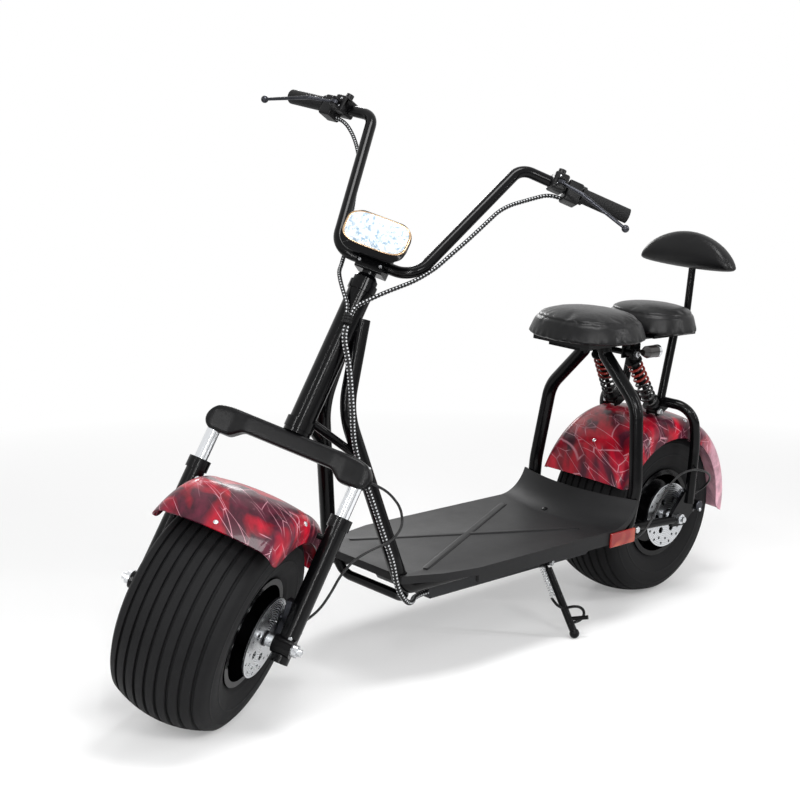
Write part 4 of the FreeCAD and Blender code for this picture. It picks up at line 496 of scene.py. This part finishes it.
half = tyreProfile(tyre)
whole = np.concatenate([half[::-1] * (1, -1), half[1:]])
whole = np.concatenate([whole, whole[:1]])
for name, body, place in (("frontTread", "front_wheel", frontPlace), ("rearTread", "rear_wheel", rearPlace)):
    piece = makePiece(name, "tyreRubber", body, [turnedGrid(place, whole, tyre["segments"])], sharp=32)
    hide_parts(body.replace("wheel", "tyre"))
print("tyres made")


# Castings and mouldings: a copy of the node is merged, its flat faces joined and its edges rounded
softened = {
    "deck_tray": {"piece": "deckTray", "round": 0.007, "steps": 4, "slot": "deck_plastic"},
    "switch_housings": {"piece": "switchHousings", "round": 0.003, "steps": 3, "slot": "switch_plastic"},
    "lever_perches": {"piece": "leverPerches", "round": 0.0016, "steps": 2, "slot": "switch_plastic"},
    "front_caliper": {"piece": "frontCaliper", "round": 0.0025, "steps": 3, "slot": "caliper_metal"},
    "rear_caliper": {"piece": "rearCaliper", "round": 0.0025, "steps": 3, "slot": "caliper_metal"},
}
bodyOf = {name: body for body, names in frame["record"]["behaviour"]["bodies"].items() for name in names}
for node, values in softened.items():
    mesh = frame["nodes"][node].data.copy()
    work = bmesh.new()
    work.from_mesh(mesh)
    bmesh.ops.remove_doubles(work, verts=work.verts, dist=1e-5)
    bmesh.ops.dissolve_limit(work, angle_limit=math.radians(2), verts=work.verts, edges=work.edges)
    bmesh.ops.recalc_face_normals(work, faces=work.faces)
    work.to_mesh(mesh)
    work.free()
    piece = bpy.data.objects.new(values["piece"], mesh)
    bpy.context.scene.collection.objects.link(piece)
    bevel = piece.modifiers.new("round", "BEVEL")
    bevel.width, bevel.segments, bevel.angle_limit = values["round"], values["steps"], math.radians(28)
    mesh.shade_smooth()
    mesh.set_sharp_from_angle(angle=math.radians(50))
    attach(piece, bodyOf[node])
    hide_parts(node)
print("edges rounded")


# Fork bridge: forged bar with rounded ends and a boss over each leg, on the steering axes
bridge = {"half": 0.1875, "top": 0.400, "boss": 0.3405, "beam": 0.360, "ahead": 0.006, "deep": 0.0198,
          "slim": 0.0160, "square": 5.0, "stepFrom": 0.096, "stepRun": 0.036, "droopFrom": 0.13, "droopRun": 0.058,
          "droop": 0.012, "endRun": 0.022, "endShare": 0.55}


def bridgeGrid(values):
    # Stations across the bar; each is a squared oval whose lower edge steps down to the boss by a smooth step, and
    # which shrinks by a quarter circle over the end's run
    y = values["half"] * np.sin(np.linspace(-1, 1, 120) * math.pi / 2)
    out = np.abs(y)
    step = np.clip((out - values["stepFrom"]) / values["stepRun"], 0, 1)
    step = step * step * (3 - 2 * step)
    low = values["beam"] + (values["boss"] - values["beam"]) * step
    high = values["top"] - values["droop"] * np.clip((out - values["droopFrom"]) / values["droopRun"], 0, 1) ** 2
    deep = values["slim"] + (values["deep"] - values["slim"]) * step
    end = np.clip((out - values["half"] + values["endRun"]) / values["endRun"], 0, 1)
    end = np.sqrt(np.maximum(1 - end ** 2, 0))
    depth = np.where(end > 0, deep * (values["endShare"] + (1 - values["endShare"]) * end), 0)
    x, z = squaredOval(np.linspace(0, 2 * math.pi, 48, endpoint=False)[None, :], 2 / values["square"])
    points = np.stack([values["ahead"] + depth[:, None] * x, y[:, None] + 0 * x,
                       ((high + low) / 2)[:, None] + ((high - low) / 2 * end)[:, None] * z], -1)
    return put(steerPlace, points), False, True


piece = makePiece("forkBridge", "satinCast", "steering", [bridgeGrid(bridge)])
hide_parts("fork_bridge")
print("fork bridge made")


# Deck ribs: two broad low ribs that cross on the standing surface
ribs = {"from": 0.884, "to": 0.360, "side": 0.127, "base": 0.2560, "high": 0.0042, "half": 0.0115,
        "under": -0.1}


def ribGrid(values, hand):
    # Height over the base at s across and u along, both from -1 to 1: high (1 - s^4)(1 - u^40); the underside
    # runs back over the same s, with a small share of that height downwards
    u = np.sin(np.linspace(-1, 1, 48) * math.pi / 2)[:, None]
    s = np.linspace(-1, 1, 13)
    lift = np.concatenate([np.ones(13), np.full(11, values["under"])])[None, :]
    s = np.concatenate([s, s[-2:0:-1]])[None, :]
    start = np.array([values["from"], hand * values["side"]])
    end = np.array([values["to"], -hand * values["side"]])
    middle, reach = (start + end) / 2, (end - start) / 2
    along = reach / np.linalg.norm(reach)
    points = np.stack([middle[0] + reach[0] * u - along[1] * values["half"] * s,
                       middle[1] + reach[1] * u + along[0] * values["half"] * s,
                       values["base"] + values["high"] * lift * (1 - s ** 4) * (1 - u ** 40)], -1)
    return put(bikePlace, points), False, True


piece = makePiece("deckRibs", "deckPlastic", "frame", [ribGrid(ribs, hand) for hand in (1, -1)])
print("deck ribs made")


# Padded parts: a smaller shell is voxel remeshed, blown up a little as cloth, and creased afterwards
padding = {"voxel": 0.005, "pressure": 4.0, "frames": 20, "cap": 0.007}


def puffed(piece, held, values):
    # Cloth under pressure with gravity off; a point moves at most by the cap, and held ones not at all
    remesh = piece.modifiers.new("even", "REMESH")
    remesh.mode, remesh.voxel_size = "VOXEL", values["voxel"]
    graph = bpy.context.evaluated_depsgraph_get()
    mesh = bpy.data.meshes.new_from_object(piece.evaluated_get(graph))
    piece.modifiers.clear()
    mesh.materials.clear()
    mesh.materials.append(piece.data.materials[0])
    piece.data = mesh
    before = readPoints(mesh)
    group = piece.vertex_groups.new(name="held")
    group.add(np.flatnonzero(held(before)).tolist(), 1.0, "REPLACE")
    cloth = piece.modifiers.new("cloth", "CLOTH")
    cloth.settings.use_pressure = True
    cloth.settings.uniform_pressure_force = values["pressure"]
    cloth.settings.effector_weights.gravity = 0
    cloth.settings.vertex_group_mass = "held"
    cloth.point_cache.frame_start, cloth.point_cache.frame_end = 1, values["frames"]
    for number in range(1, values["frames"] + 1):
        bpy.context.scene.frame_set(number)
    graph = bpy.context.evaluated_depsgraph_get()
    move = readPoints(piece.evaluated_get(graph).data) - before
    length = np.linalg.norm(move, axis=1, keepdims=True)
    before += move * np.minimum(1.0, values["cap"] / np.maximum(length, 1e-9))
    piece.modifiers.clear()
    piece.vertex_groups.clear()
    bpy.context.scene.frame_set(1)
    smooth = piece.modifiers.new("even", "SMOOTH")
    smooth.iterations, smooth.factor = 3, 0.5
    finer = piece.modifiers.new("finer", "SUBSURF")
    finer.levels = finer.render_levels = 1
    writePoints(mesh, before)
    graph = bpy.context.evaluated_depsgraph_get()
    whole = bpy.data.meshes.new_from_object(piece.evaluated_get(graph))
    piece.modifiers.clear()
    piece.data = whole
    whole.shade_smooth()


# Saddles: lengths in metres; crease is the height share of the line where the side meets the top
saddleForm = {"bottom": 0.7005, "thick": 0.076, "rise": 0.88, "crease": 0.70, "start": 0.965, "sideBow": 1.3,
              "domeBow": 0.8, "plan": 0.92, "creaseDeep": 0.0028, "foldDeep": 0.0011, "hemDeep": 0.003}
saddles = {
    "frontSaddle": {"node": "front_seat", "middle": 0.236, "half": (0.142, 0.152), "lean": 0.12,
                    "folds": 34, "seed": 3},
    "rearSaddle": {"node": "rear_seat", "middle": -0.021, "half": (0.111, 0.126), "lean": 0.11,
                   "folds": 28, "seed": 8},
}


def saddleGrid(form, values):
    # Oval rings of (reach, height share): a flat underside, a side that leans in by a power of its height up to
    # the crease, then a low oval dome
    under = np.stack([np.linspace(0.0, 0.97, 8), np.zeros(8)], -1)
    rise = np.linspace(0.02, form["crease"], 9)
    side = np.stack([1 - values["lean"] * (rise / form["crease"]) ** form["sideBow"], rise], -1)
    bend = np.linspace(0, math.pi / 2, 18)[1:]
    top = np.stack([(1 - values["lean"]) * np.cos(bend) ** form["domeBow"],
                    form["crease"] + (1 - form["crease"]) * np.sin(bend)], -1)
    rings = np.concatenate([under, side, top])
    reach = rings[:, :1] * form["start"]
    x, y = squaredOval(np.linspace(0, 2 * math.pi, 96, endpoint=False)[None, :], form["plan"])
    points = np.stack([values["middle"] + reach * values["half"][0] * x, reach * values["half"][1] * y,
                       form["bottom"] + rings[:, 1:] * form["thick"] * form["rise"] + 0 * x], -1)
    return put(bikePlace, points), False, True


def creasedSaddle(form, values, points):
    # The crease and the hem pull in by bell curves; gathers are waves that fade within a third of the side
    own = ownPoints(bikePlace, points)
    offset = own[:, :2] - (values["middle"], 0.0)
    share = (own[:, 2] - form["bottom"]) / form["thick"]
    length = np.linalg.norm(offset, axis=1)
    outward = offset / np.maximum(length, 1e-9)[:, None]
    rim = np.clip(length / min(values["half"]) - 0.55, 0, 0.2) / 0.2
    angle = np.arctan2(offset[:, 1], offset[:, 0])
    rng = np.random.default_rng(values["seed"])
    folds = sum(np.sin(angle * count + phase) * size for count, phase, size in zip(
        values["folds"] + rng.integers(-9, 9, 4), rng.uniform(0, 6.3, 4), (0.5, 0.4, 0.4, 0.3)))
    inward = form["creaseDeep"] * np.exp(-((share - 0.9 * form["crease"]) / 0.05) ** 2)
    inward -= form["foldDeep"] * folds * np.exp(-((share - 0.08) / 0.16) ** 2)
    inward += form["hemDeep"] * np.exp(-(share / 0.05) ** 2)
    own[:, :2] -= outward * (inward * rim)[:, None]
    return put(bikePlace, own)


floor = saddleForm["bottom"] + 0.006
for name, values in saddles.items():
    piece = makePiece(name, "vinyl", "frame", [saddleGrid(saddleForm, values)])
    puffed(piece, lambda points: ownPoints(bikePlace, points)[:, 2] < floor, padding)
    writePoints(piece.data, creasedSaddle(saddleForm, values, readPoints(piece.data)))
    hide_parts(values["node"])
print("saddles made")


# Backrest: a crescent with a flat underside and narrow tips
backrest = {"back": -0.1755, "bottom": 0.853, "width": 0.300, "height": 0.098, "tip": 0.013, "thick": 0.046,
            "start": 0.985, "spineHalf": 0.7, "spineHigh": 0.36, "topBow": 1.35, "lowBow": 0.7, "rings": [
                (0.0, 0.10), (0.5, 0.04), (0.86, 0.03), (0.97, 0.12), (1.0, 0.32), (0.985, 0.52), (0.92, 0.72),
                (0.76, 0.88), (0.5, 0.97), (0.2, 1.0), (0.0, 1.0)]}


def crescentGrid(values):
    # Rings (reach, depth share) from the back's middle over the rim to the front's middle. The outline is an arc
    # above that meets a nearly flat line below in two narrow tips; each ring is that outline drawn in towards a
    # short spine by its reach
    bend = np.linspace(0, 2 * math.pi, 120, endpoint=False)
    half, tip = values["width"] / 2, values["tip"]
    y, over = half * np.cos(bend), np.abs(np.sin(bend))
    z = np.where(bend < math.pi, tip + (values["height"] - tip) * over ** values["topBow"],
                 tip * (1 - over ** values["lowBow"]))
    outline = np.stack([y, z], -1)
    spine = np.stack([np.clip(y, -values["spineHalf"] * half, values["spineHalf"] * half),
                      np.full_like(y, values["spineHigh"] * values["height"])], -1)
    layers = []
    for reach, depth in values["rings"]:
        flat = spine + (outline - spine) * reach * values["start"]
        layers.append(np.column_stack([np.full(len(flat), values["back"] + depth * values["thick"]), flat[:, 0],
                                       values["bottom"] + flat[:, 1]]))
    return put(bikePlace, np.stack(layers)), False, True


piece = makePiece("backrestPad", "vinyl", "frame", [crescentGrid(backrest)])
puffed(piece, lambda points: ownPoints(bikePlace, points)[:, 0] < backrest["back"] + 0.006, padding)
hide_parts("backrest_pad")
print("backrest made")


# Headlamp: black face plate, pressed lens set high on it, and a plated trim round the lens
headlamp = {"face": 0.0603, "middle": 0.834, "plate": (0.0742, 0.0432), "lens": (0.0700, 0.0345),
            "raise": 0.0068, "bulge": 0.0085, "square": 3.6, "trim": 0.0022, "trimReach": 0.05}


def ovalRings(half, middle, rings):
    # Rings of a squared oval, |y/a|^n + |z/b|^n = 1, each with its reach and its distance ahead
    y, z = squaredOval(np.linspace(0, 2 * math.pi, 120, endpoint=False), 2 / headlamp["square"])
    rings = np.asarray(rings, float)
    points = np.stack([rings[:, 1:] + 0 * y, rings[:, :1] * half[0] * y, middle + rings[:, :1] * half[1] * z], -1)
    return put(steerPlace, points), False, True


face, high = headlamp["face"], headlamp["middle"] + headlamp["raise"]
plateRings = [(0, face - 0.002), (0.97, face - 0.002), (1, face - 0.001), (1, face + 0.0005),
              (0.975, face + 0.0018), (0, face + 0.0018)]
reach = np.linspace(1, 0, 18)
dome = np.stack([reach, face + 0.003 + headlamp["bulge"] * (1 - reach ** 2.4) ** 0.8], -1)
lensRings = np.concatenate([[(0, face), (1, face)], dome])
trimRings = [(1 + headlamp["trim"] * math.cos(angle) / headlamp["trimReach"],
              face + 0.0022 + headlamp["trim"] * math.sin(angle)) for angle in np.linspace(0, 2 * math.pi, 13)]
plate = ovalRings(headlamp["plate"], headlamp["middle"], plateRings)
piece = makePiece("lampPlate", "powderCoat", "steering", [plate], sharp=40)
piece = makePiece("lampLens", "lampLens", "steering", [ovalRings(headlamp["lens"], high, lensRings)], sharp=50)
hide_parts("headlamp_lens")
piece = makePiece("lampTrim", "lampTrim", "steering", [ovalRings(headlamp["lens"], high, trimRings)])

# Turn lamps: a pale domed end in a plated ring on each barrel
turnSpot = np.array((0.0662, 0.092, 0.664))
domeProfile = [(0, 0.0050), (0.005, 0.0047), (0.009, 0.0036), (0.0118, 0.002), (0.013, 0.0), (0.013, -0.001),
               (0, -0.001)]
ringProfile = [(0.0122, -0.001), (0.0128, 0.0022), (0.0150, 0.0026), (0.0162, 0.0016), (0.0162, -0.0070),
               (0.0150, -0.0076), (0.0122, -0.001)]
ends = [placeOf(put(bikePlace, turnSpot * (1, side, 1)), -bikePlace[:3, 0], bikePlace[:3, 2]) for side in (1, -1)]
piece = makePiece("turnLenses", "paleLens", "frame", [turnedGrid(end, domeProfile, 32) for end in ends], sharp=50)
piece = makePiece("turnRings", "chrome", "frame", [turnedGrid(end, ringProfile, 32) for end in ends], sharp=50)
print("lamps made")


# Wiring looms: corner points of each route in mm, as the source gives them, its radius, and the axis of its
# place that the sweep's first side is square to
heldRoutes = {
    "leftLoom": {"place": steerPlace, "radius": 0.0045, "axis": 0, "points": [
        (-165.5, 277.2, 1117.3), (-155.6, 255.4, 1115.9), (-134, 224, 1083), (-89.9, 184.9, 1030.3),
        (-68.5, 170.2, 977.3), (-49, 154.3, 923.9), (-31.4, 135.4, 870.8), (-18.2, 121.9, 830.8), (2, 98, 787),
        (17, 78, 761), (30, 55, 733), (38, 33, 705), (39, 11.8, 681.4), (37.5, 15.9, 655.8)]},
    "rightLoom": {"place": steerPlace, "radius": 0.0045, "axis": 0, "points": [
        (-165.5, -277.2, 1117.3), (-155.6, -255.4, 1115.9), (-142, -214, 1087), (-111.2, -168.7, 1035.6),
        (-91.7, -145.1, 984.3), (-73.2, -125.3, 931.7), (-55.7, -106.4, 882.4), (-44.3, -88.9, 838.9),
        (-13, -67, 770), (6, -60, 749), (23, -42, 727), (34, -20, 703), (39, 2, 679.8), (37.5, 6.1, 654.2)]},
    "steeringBundle": {"place": bikePlace, "radius": 0.0062, "axis": 1, "points": [
        (1053.2, 31.8, 793.9), (1062.7, 32.4, 771.8), (1058, 46, 726), (1058, 56, 682), (1057, 61, 644),
        (1055.4, 64.3, 616), (1054.3, 65.4, 588)]},
    "frameBundle": {"place": bikePlace, "radius": 0.0060, "axis": 1, "points": [
        (1054.2, 65.4, 590), (1052.7, 67, 553.8), (1041, 85, 492), (1019, 100, 425), (997, 114, 352),
        (978, 127, 294), (969, 133, 236), (938, 132, 196), (904, 116, 184), (872.3, 88, 184), (832.5, 88, 184)]},
}


def routeLine(place, corners):
    # The corners, in mm, are the control points of a quadratic NURBS curve; gives points along it
    curve = bpy.data.curves.new("route", "CURVE")
    curve.dimensions, curve.resolution_u = "3D", 10
    spline = curve.splines.new("NURBS")
    spline.points.add(len(corners) - 1)
    corners = put(place, np.array(corners) / 1000)
    spline.points.foreach_set("co", np.column_stack([corners, np.ones(len(corners))]).ravel())
    spline.order_u = 3
    spline.use_endpoint_u = True
    holder = bpy.data.objects.new("route", curve)
    line = readPoints(bpy.data.meshes.new_from_object(holder))
    bpy.data.objects.remove(holder)
    return line


looms = {}
for name, values in heldRoutes.items():
    line = routeLine(values["place"], values["points"])
    looms[name] = sweptGrid(line, values["radius"], 16, values["place"][:3, values["axis"]])
    print(name, "is", round(float(np.linalg.norm(np.diff(line, axis=0), axis=1).sum()), 3), "m long")
piece = makePiece("barLooms", "loomSleeve", "steering", [looms["leftLoom"], looms["rightLoom"]])
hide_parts("bar_looms")
piece = makePiece("frameBundle", "loomSleeve", "frame", [looms["frameBundle"]])
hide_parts("frame_loom")
bundle = makePiece("steeringBundle", "loomSleeve", None, [looms["steeringBundle"]])
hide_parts("steering_loom")
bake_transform(bundle)
# The boot that gathers both looms: a ribbed rubber sleeve, turned about its own line
boot = {"middle": (0.0375, 0.011, 0.655), "aim": (-0.059, 0.158, -0.986), "profile": [
    (0, 0.0095), (0.0085, 0.0095), (0.0105, 0.007), (0.0105, 0.003), (0.0092, 0.0015), (0.0105, 0),
    (0.0105, -0.003), (0.0092, -0.0045), (0.0105, -0.006), (0.0098, -0.009), (0, -0.0095)]}
bootPlace = placeOf(put(steerPlace, boot["middle"]), steerPlace[:3, :3] @ np.array(boot["aim"]),
                    steerPlace[:3, 0])
piece = makePiece("loomBoot", "gripRubber", "steering", [turnedGrid(bootPlace, boot["profile"], 32)], sharp=40)
print("looms made")


# Fasteners: profiles of (radius, height) shares, and how many sides a head has
headKinds = {
    "dome": {"sides": 20, "profile": [(0, 1.0), (0.42, 0.94), (0.75, 0.72), (0.95, 0.36), (1.0, 0.0),
                                      (1.0, -0.3), (0, -0.3)]},
    "hex": {"sides": 6, "profile": [(0, 0.9), (0.5, 0.9), (0.56, 1.0), (0.84, 1.0), (1.0, 0.84), (1.0, 0.16),
                                    (1.0, -0.3), (0, -0.3)]},
}
fasteners = [
    # node, place, where the ray to it starts and how it runs (mm), radius and height, kind, hands, finish
    ("front_mudguard", "steering", (260, 0, 199), (-0.77, 0, -0.64), (5.5, 3.2), "dome", (1,), "zinc"),
    ("front_mudguard", "steering", (95, 160, 264), (-0.17, -0.78, -0.61), (5.5, 3.2), "dome", (1, -1), "zinc"),
    ("rear_mudguard", "bike", (208, 0, 462), (-0.67, 0, -0.74), (5.5, 3.2), "dome", (1,), "zinc"),
    ("rear_mudguard", "bike", (-54, 150, 505), (0.13, -0.71, -0.69), (5.5, 3.2), "dome", (1, -1), "zinc"),
    ("deck_tray", "bike", (330, -26, 300), (-0.28, 0, -0.96), (7.5, 2.4), "dome", (1,), "glossEnamel"),
    ("swingarm", "bike", (169, 190, 226), (0, -1, 0), (9.0, 7.0), "hex", (1, -1), "zinc"),
    ("swingarm", "bike", (27, 130, 500), (0, -1, 0), (8.5, 6.0), "hex", (1, -1), "zinc"),
    ("seat_frame", "bike", (125, 130, 656), (0, -1, 0), (8.5, 6.0), "hex", (1, -1), "zinc"),
    ("rear_caliper", "bike", (-58, 200, 262), (0, -1, 0), (5.0, 4.5), "hex", (1,), "zinc"),
    ("rear_caliper", "bike", (-78, 200, 240), (0, -1, 0), (5.0, 4.5), "hex", (1,), "zinc"),
    ("front_caliper", "steering", (-30, 200, 54), (0, -1, 0), (5.0, 4.5), "hex", (1,), "zinc"),
    ("front_caliper", "steering", (-44, 200, 34), (0, -1, 0), (5.0, 4.5), "hex", (1,), "zinc"),
    ("fork_lowers", "steering", (80, 172, 18), (-1, 0, 0), (4.5, 4.0), "hex", (1, -1), "zinc"),
    ("bar_clamp", "steering", (120, 24, 786), (-1, 0, 0), (4.0, 4.0), "hex", (1, -1), "zinc"),
    ("lever_perches", "steering", (0, 268, 1134), (-1, 0, 0), (3.0, 2.4), "dome", (1, -1), "zinc"),
    ("lever_perches", "steering", (0, 268, 1152), (-1, 0, 0), (3.0, 2.4), "dome", (1, -1), "zinc"),
]


def rayTree(node):
    work = bmesh.new()
    work.from_mesh(frame["nodes"][node].data)
    tree = BVHTree.FromBMesh(work)
    work.free()
    return tree


def headGrid(spot, outward, size, kind):
    # A turned head on the spot, with its size (radius, height) in mm
    helper = np.eye(3)[np.argmin(np.abs(outward))]
    profile = np.array(headKinds[kind]["profile"]) * np.array(size) / 1000
    return turnedGrid(placeOf(spot, outward, helper), profile, headKinds[kind]["sides"])


heads = {}
for node, place, start, aim, size, kind, hands, finish in fasteners:
    for hand in hands:
        origin = Vector(put(places[place], np.array(start) * (1, hand, 1) / 1000))
        inward = Vector(places[place][:3, :3] @ (np.array(aim) * (1.0, hand, 1.0))).normalized()
        spot, normal = rayTree(node).ray_cast(origin, inward)[:2]
        # A dome lies flat on its face; a hexagon stays square to its bore
        outward = -inward if kind == "hex" or normal.dot(inward) > 0 else normal
        grid = headGrid(spot, np.array(outward), size, kind)
        heads.setdefault((bodyOf[node], finish), []).append(grid)
for (body, finish), grids in heads.items():
    piece = makePiece(body + ("Bolts" if finish == "zinc" else "DarkBolts"), finish, body, grids, sharp=25)
print("fasteners made")


# Side stand: pivot bolt, return spring before the leg, and the bent rod that a toe pushes, in mm on the bike
stand = {"coils": 13, "coil": 0.0058, "wire": 0.0012, "top": (486, 121, 183), "foot": (474, 152, 114),
         "bolt": (0.0085, 0.006), "boltOut": 0.014, "rod": 0.0034, "rodPoints": [
             (476, 150, 112), (470, 158, 96), (452, 170, 84), (428, 178, 88), (404, 184, 82), (394, 188, 68),
             (402, 190, 54), (424, 188, 49), (446, 184, 50)]}


def springLine(values):
    # Helix round the line from top to foot: 24 steps a turn, with a hook that ends on the leg
    t = np.linspace(0, 1, values["coils"] * 24)[:, None]
    top, foot = (put(bikePlace, np.array(values[key]) / 1000) for key in ("top", "foot"))
    along = (foot - top) / np.linalg.norm(foot - top)
    side = np.cross(along, bikePlace[:3, 1])
    side /= np.linalg.norm(side)
    angle = t * values["coils"] * math.tau
    return top + (foot - top) * t + values["coil"] * (np.cos(angle) * side + np.sin(angle) * np.cross(along, side))


line = springLine(stand)
spring = sweptGrid(line, stand["wire"], 8, line[-1] - line[0])
piece = makePiece("standSpring", "zinc", "side_stand", [spring])
rod = sweptGrid(routeLine(bikePlace, stand["rodPoints"]), stand["rod"], 14, (0.1, 0.2, 1.0))
piece = makePiece("standToe", "powderCoat", "side_stand", [rod])
bolt = turnedGrid(placeOf(np.array(standPos) + stand["boltOut"] * np.array(standAxis), standAxis, (0, 0, 1)),
                  np.array(headKinds["hex"]["profile"]) * stand["bolt"], headKinds["hex"]["sides"])
piece = makePiece("standBolt", "zinc", "frame", [bolt], sharp=25)
print("stand dressed")


# Studio: pale floor, large soft lamps, and a white background for what the camera and gloss see
studio = {"floor": 40.0, "world": 0.42, "clear": (1.0, 3.2), "shade": 0.22}
# Lamps: where, width and height, how strong; strips give the narrow highlights on the tubes
lamps = {"overhead": ((0.2, 0.7, 3.0), (1.1, 0.8), 46.0), "left": ((1.1, 2.9, 1.9), (0.7, 0.5), 30.0),
         "right": ((-1.6, -2.6, 1.9), (0.8, 0.6), 18.0), "stripLeft": ((1.9, 1.9, 1.3), (0.06, 1.9), 26.0),
         "stripFront": ((2.8, 0.3, 1.4), (0.07, 1.8), 24.0), "stripBack": ((-1.7, 2.3, 1.7), (0.07, 1.8), 24.0)}


def makeStudio(values):
    world = bpy.data.worlds.new("studio")
    bpy.context.scene.world = world
    world.use_nodes = True
    tree = world.node_tree
    rays = add(tree, "LightPath").outputs
    seen = add(tree, "Math", {0: rays["Is Camera Ray"], 1: rays["Is Transmission Ray"]}, operation="MAXIMUM")
    seen = add(tree, "Math", {0: seen, 1: rays["Is Glossy Ray"]}, operation="MAXIMUM")
    feed(tree.nodes["Background"], {"Color": "ffffff", "Strength": add(tree, "MapRange", {
        "Value": seen, "To Min": values["world"], "To Max": 1.0})})
    mesh = bpy.data.meshes.new("floor")
    half = values["floor"]
    corners = [(-half, -half, 0), (half, -half, 0), (half, half, 0), (-half, half, 0)]
    mesh.from_pydata(corners, [], [(0, 1, 2, 3)])
    floor = bpy.data.objects.new("floor", mesh)
    bpy.context.scene.collection.objects.link(floor)
    # Painted studio floor: white and matt; the camera sees white paper that keeps a soft shadow near the wheels
    tree, shader, place = newFinish("floor", "studioFloor", {
        "Base Color": "f6f6f6", "Roughness": 0.9, "Specular IOR Level": 0.1})
    glow = add(tree, "Emission", {"Color": "ffffff", "Strength": 1.0})
    away = add(tree, "VectorMath", {0: place}, operation="LENGTH").outputs["Value"]
    near, far = values["clear"]
    white = add(tree, "MapRange", {"Value": away, "From Min": near, "From Max": far, "To Min": values["shade"],
                                   "To Max": 1.0})
    camera = add(tree, "LightPath").outputs["Is Camera Ray"]
    amount = add(tree, "Math", {0: camera, 1: white}, operation="MULTIPLY")
    feed(tree.nodes["Material Output"], {"Surface": add(tree, "MixShader", {
        0: amount, 1: shader.outputs[0], 2: glow.outputs[0]})})
    mesh.materials.append(finishes["floor"])
    for name, (spot, size, power) in lamps.items():
        data = bpy.data.lights.new(name, "AREA")
        data.shape = "RECTANGLE"
        data.size, data.size_y, data.energy = *size, power
        lamp = bpy.data.objects.new(name, data)
        lamp.location = spot
        lamp.rotation_euler = (Vector((0, 0, 0.5)) - Vector(spot)).to_track_quat("-Z", "Y").to_euler()
        bpy.context.scene.collection.objects.link(lamp)


makeStudio(studio)
print("studio made")
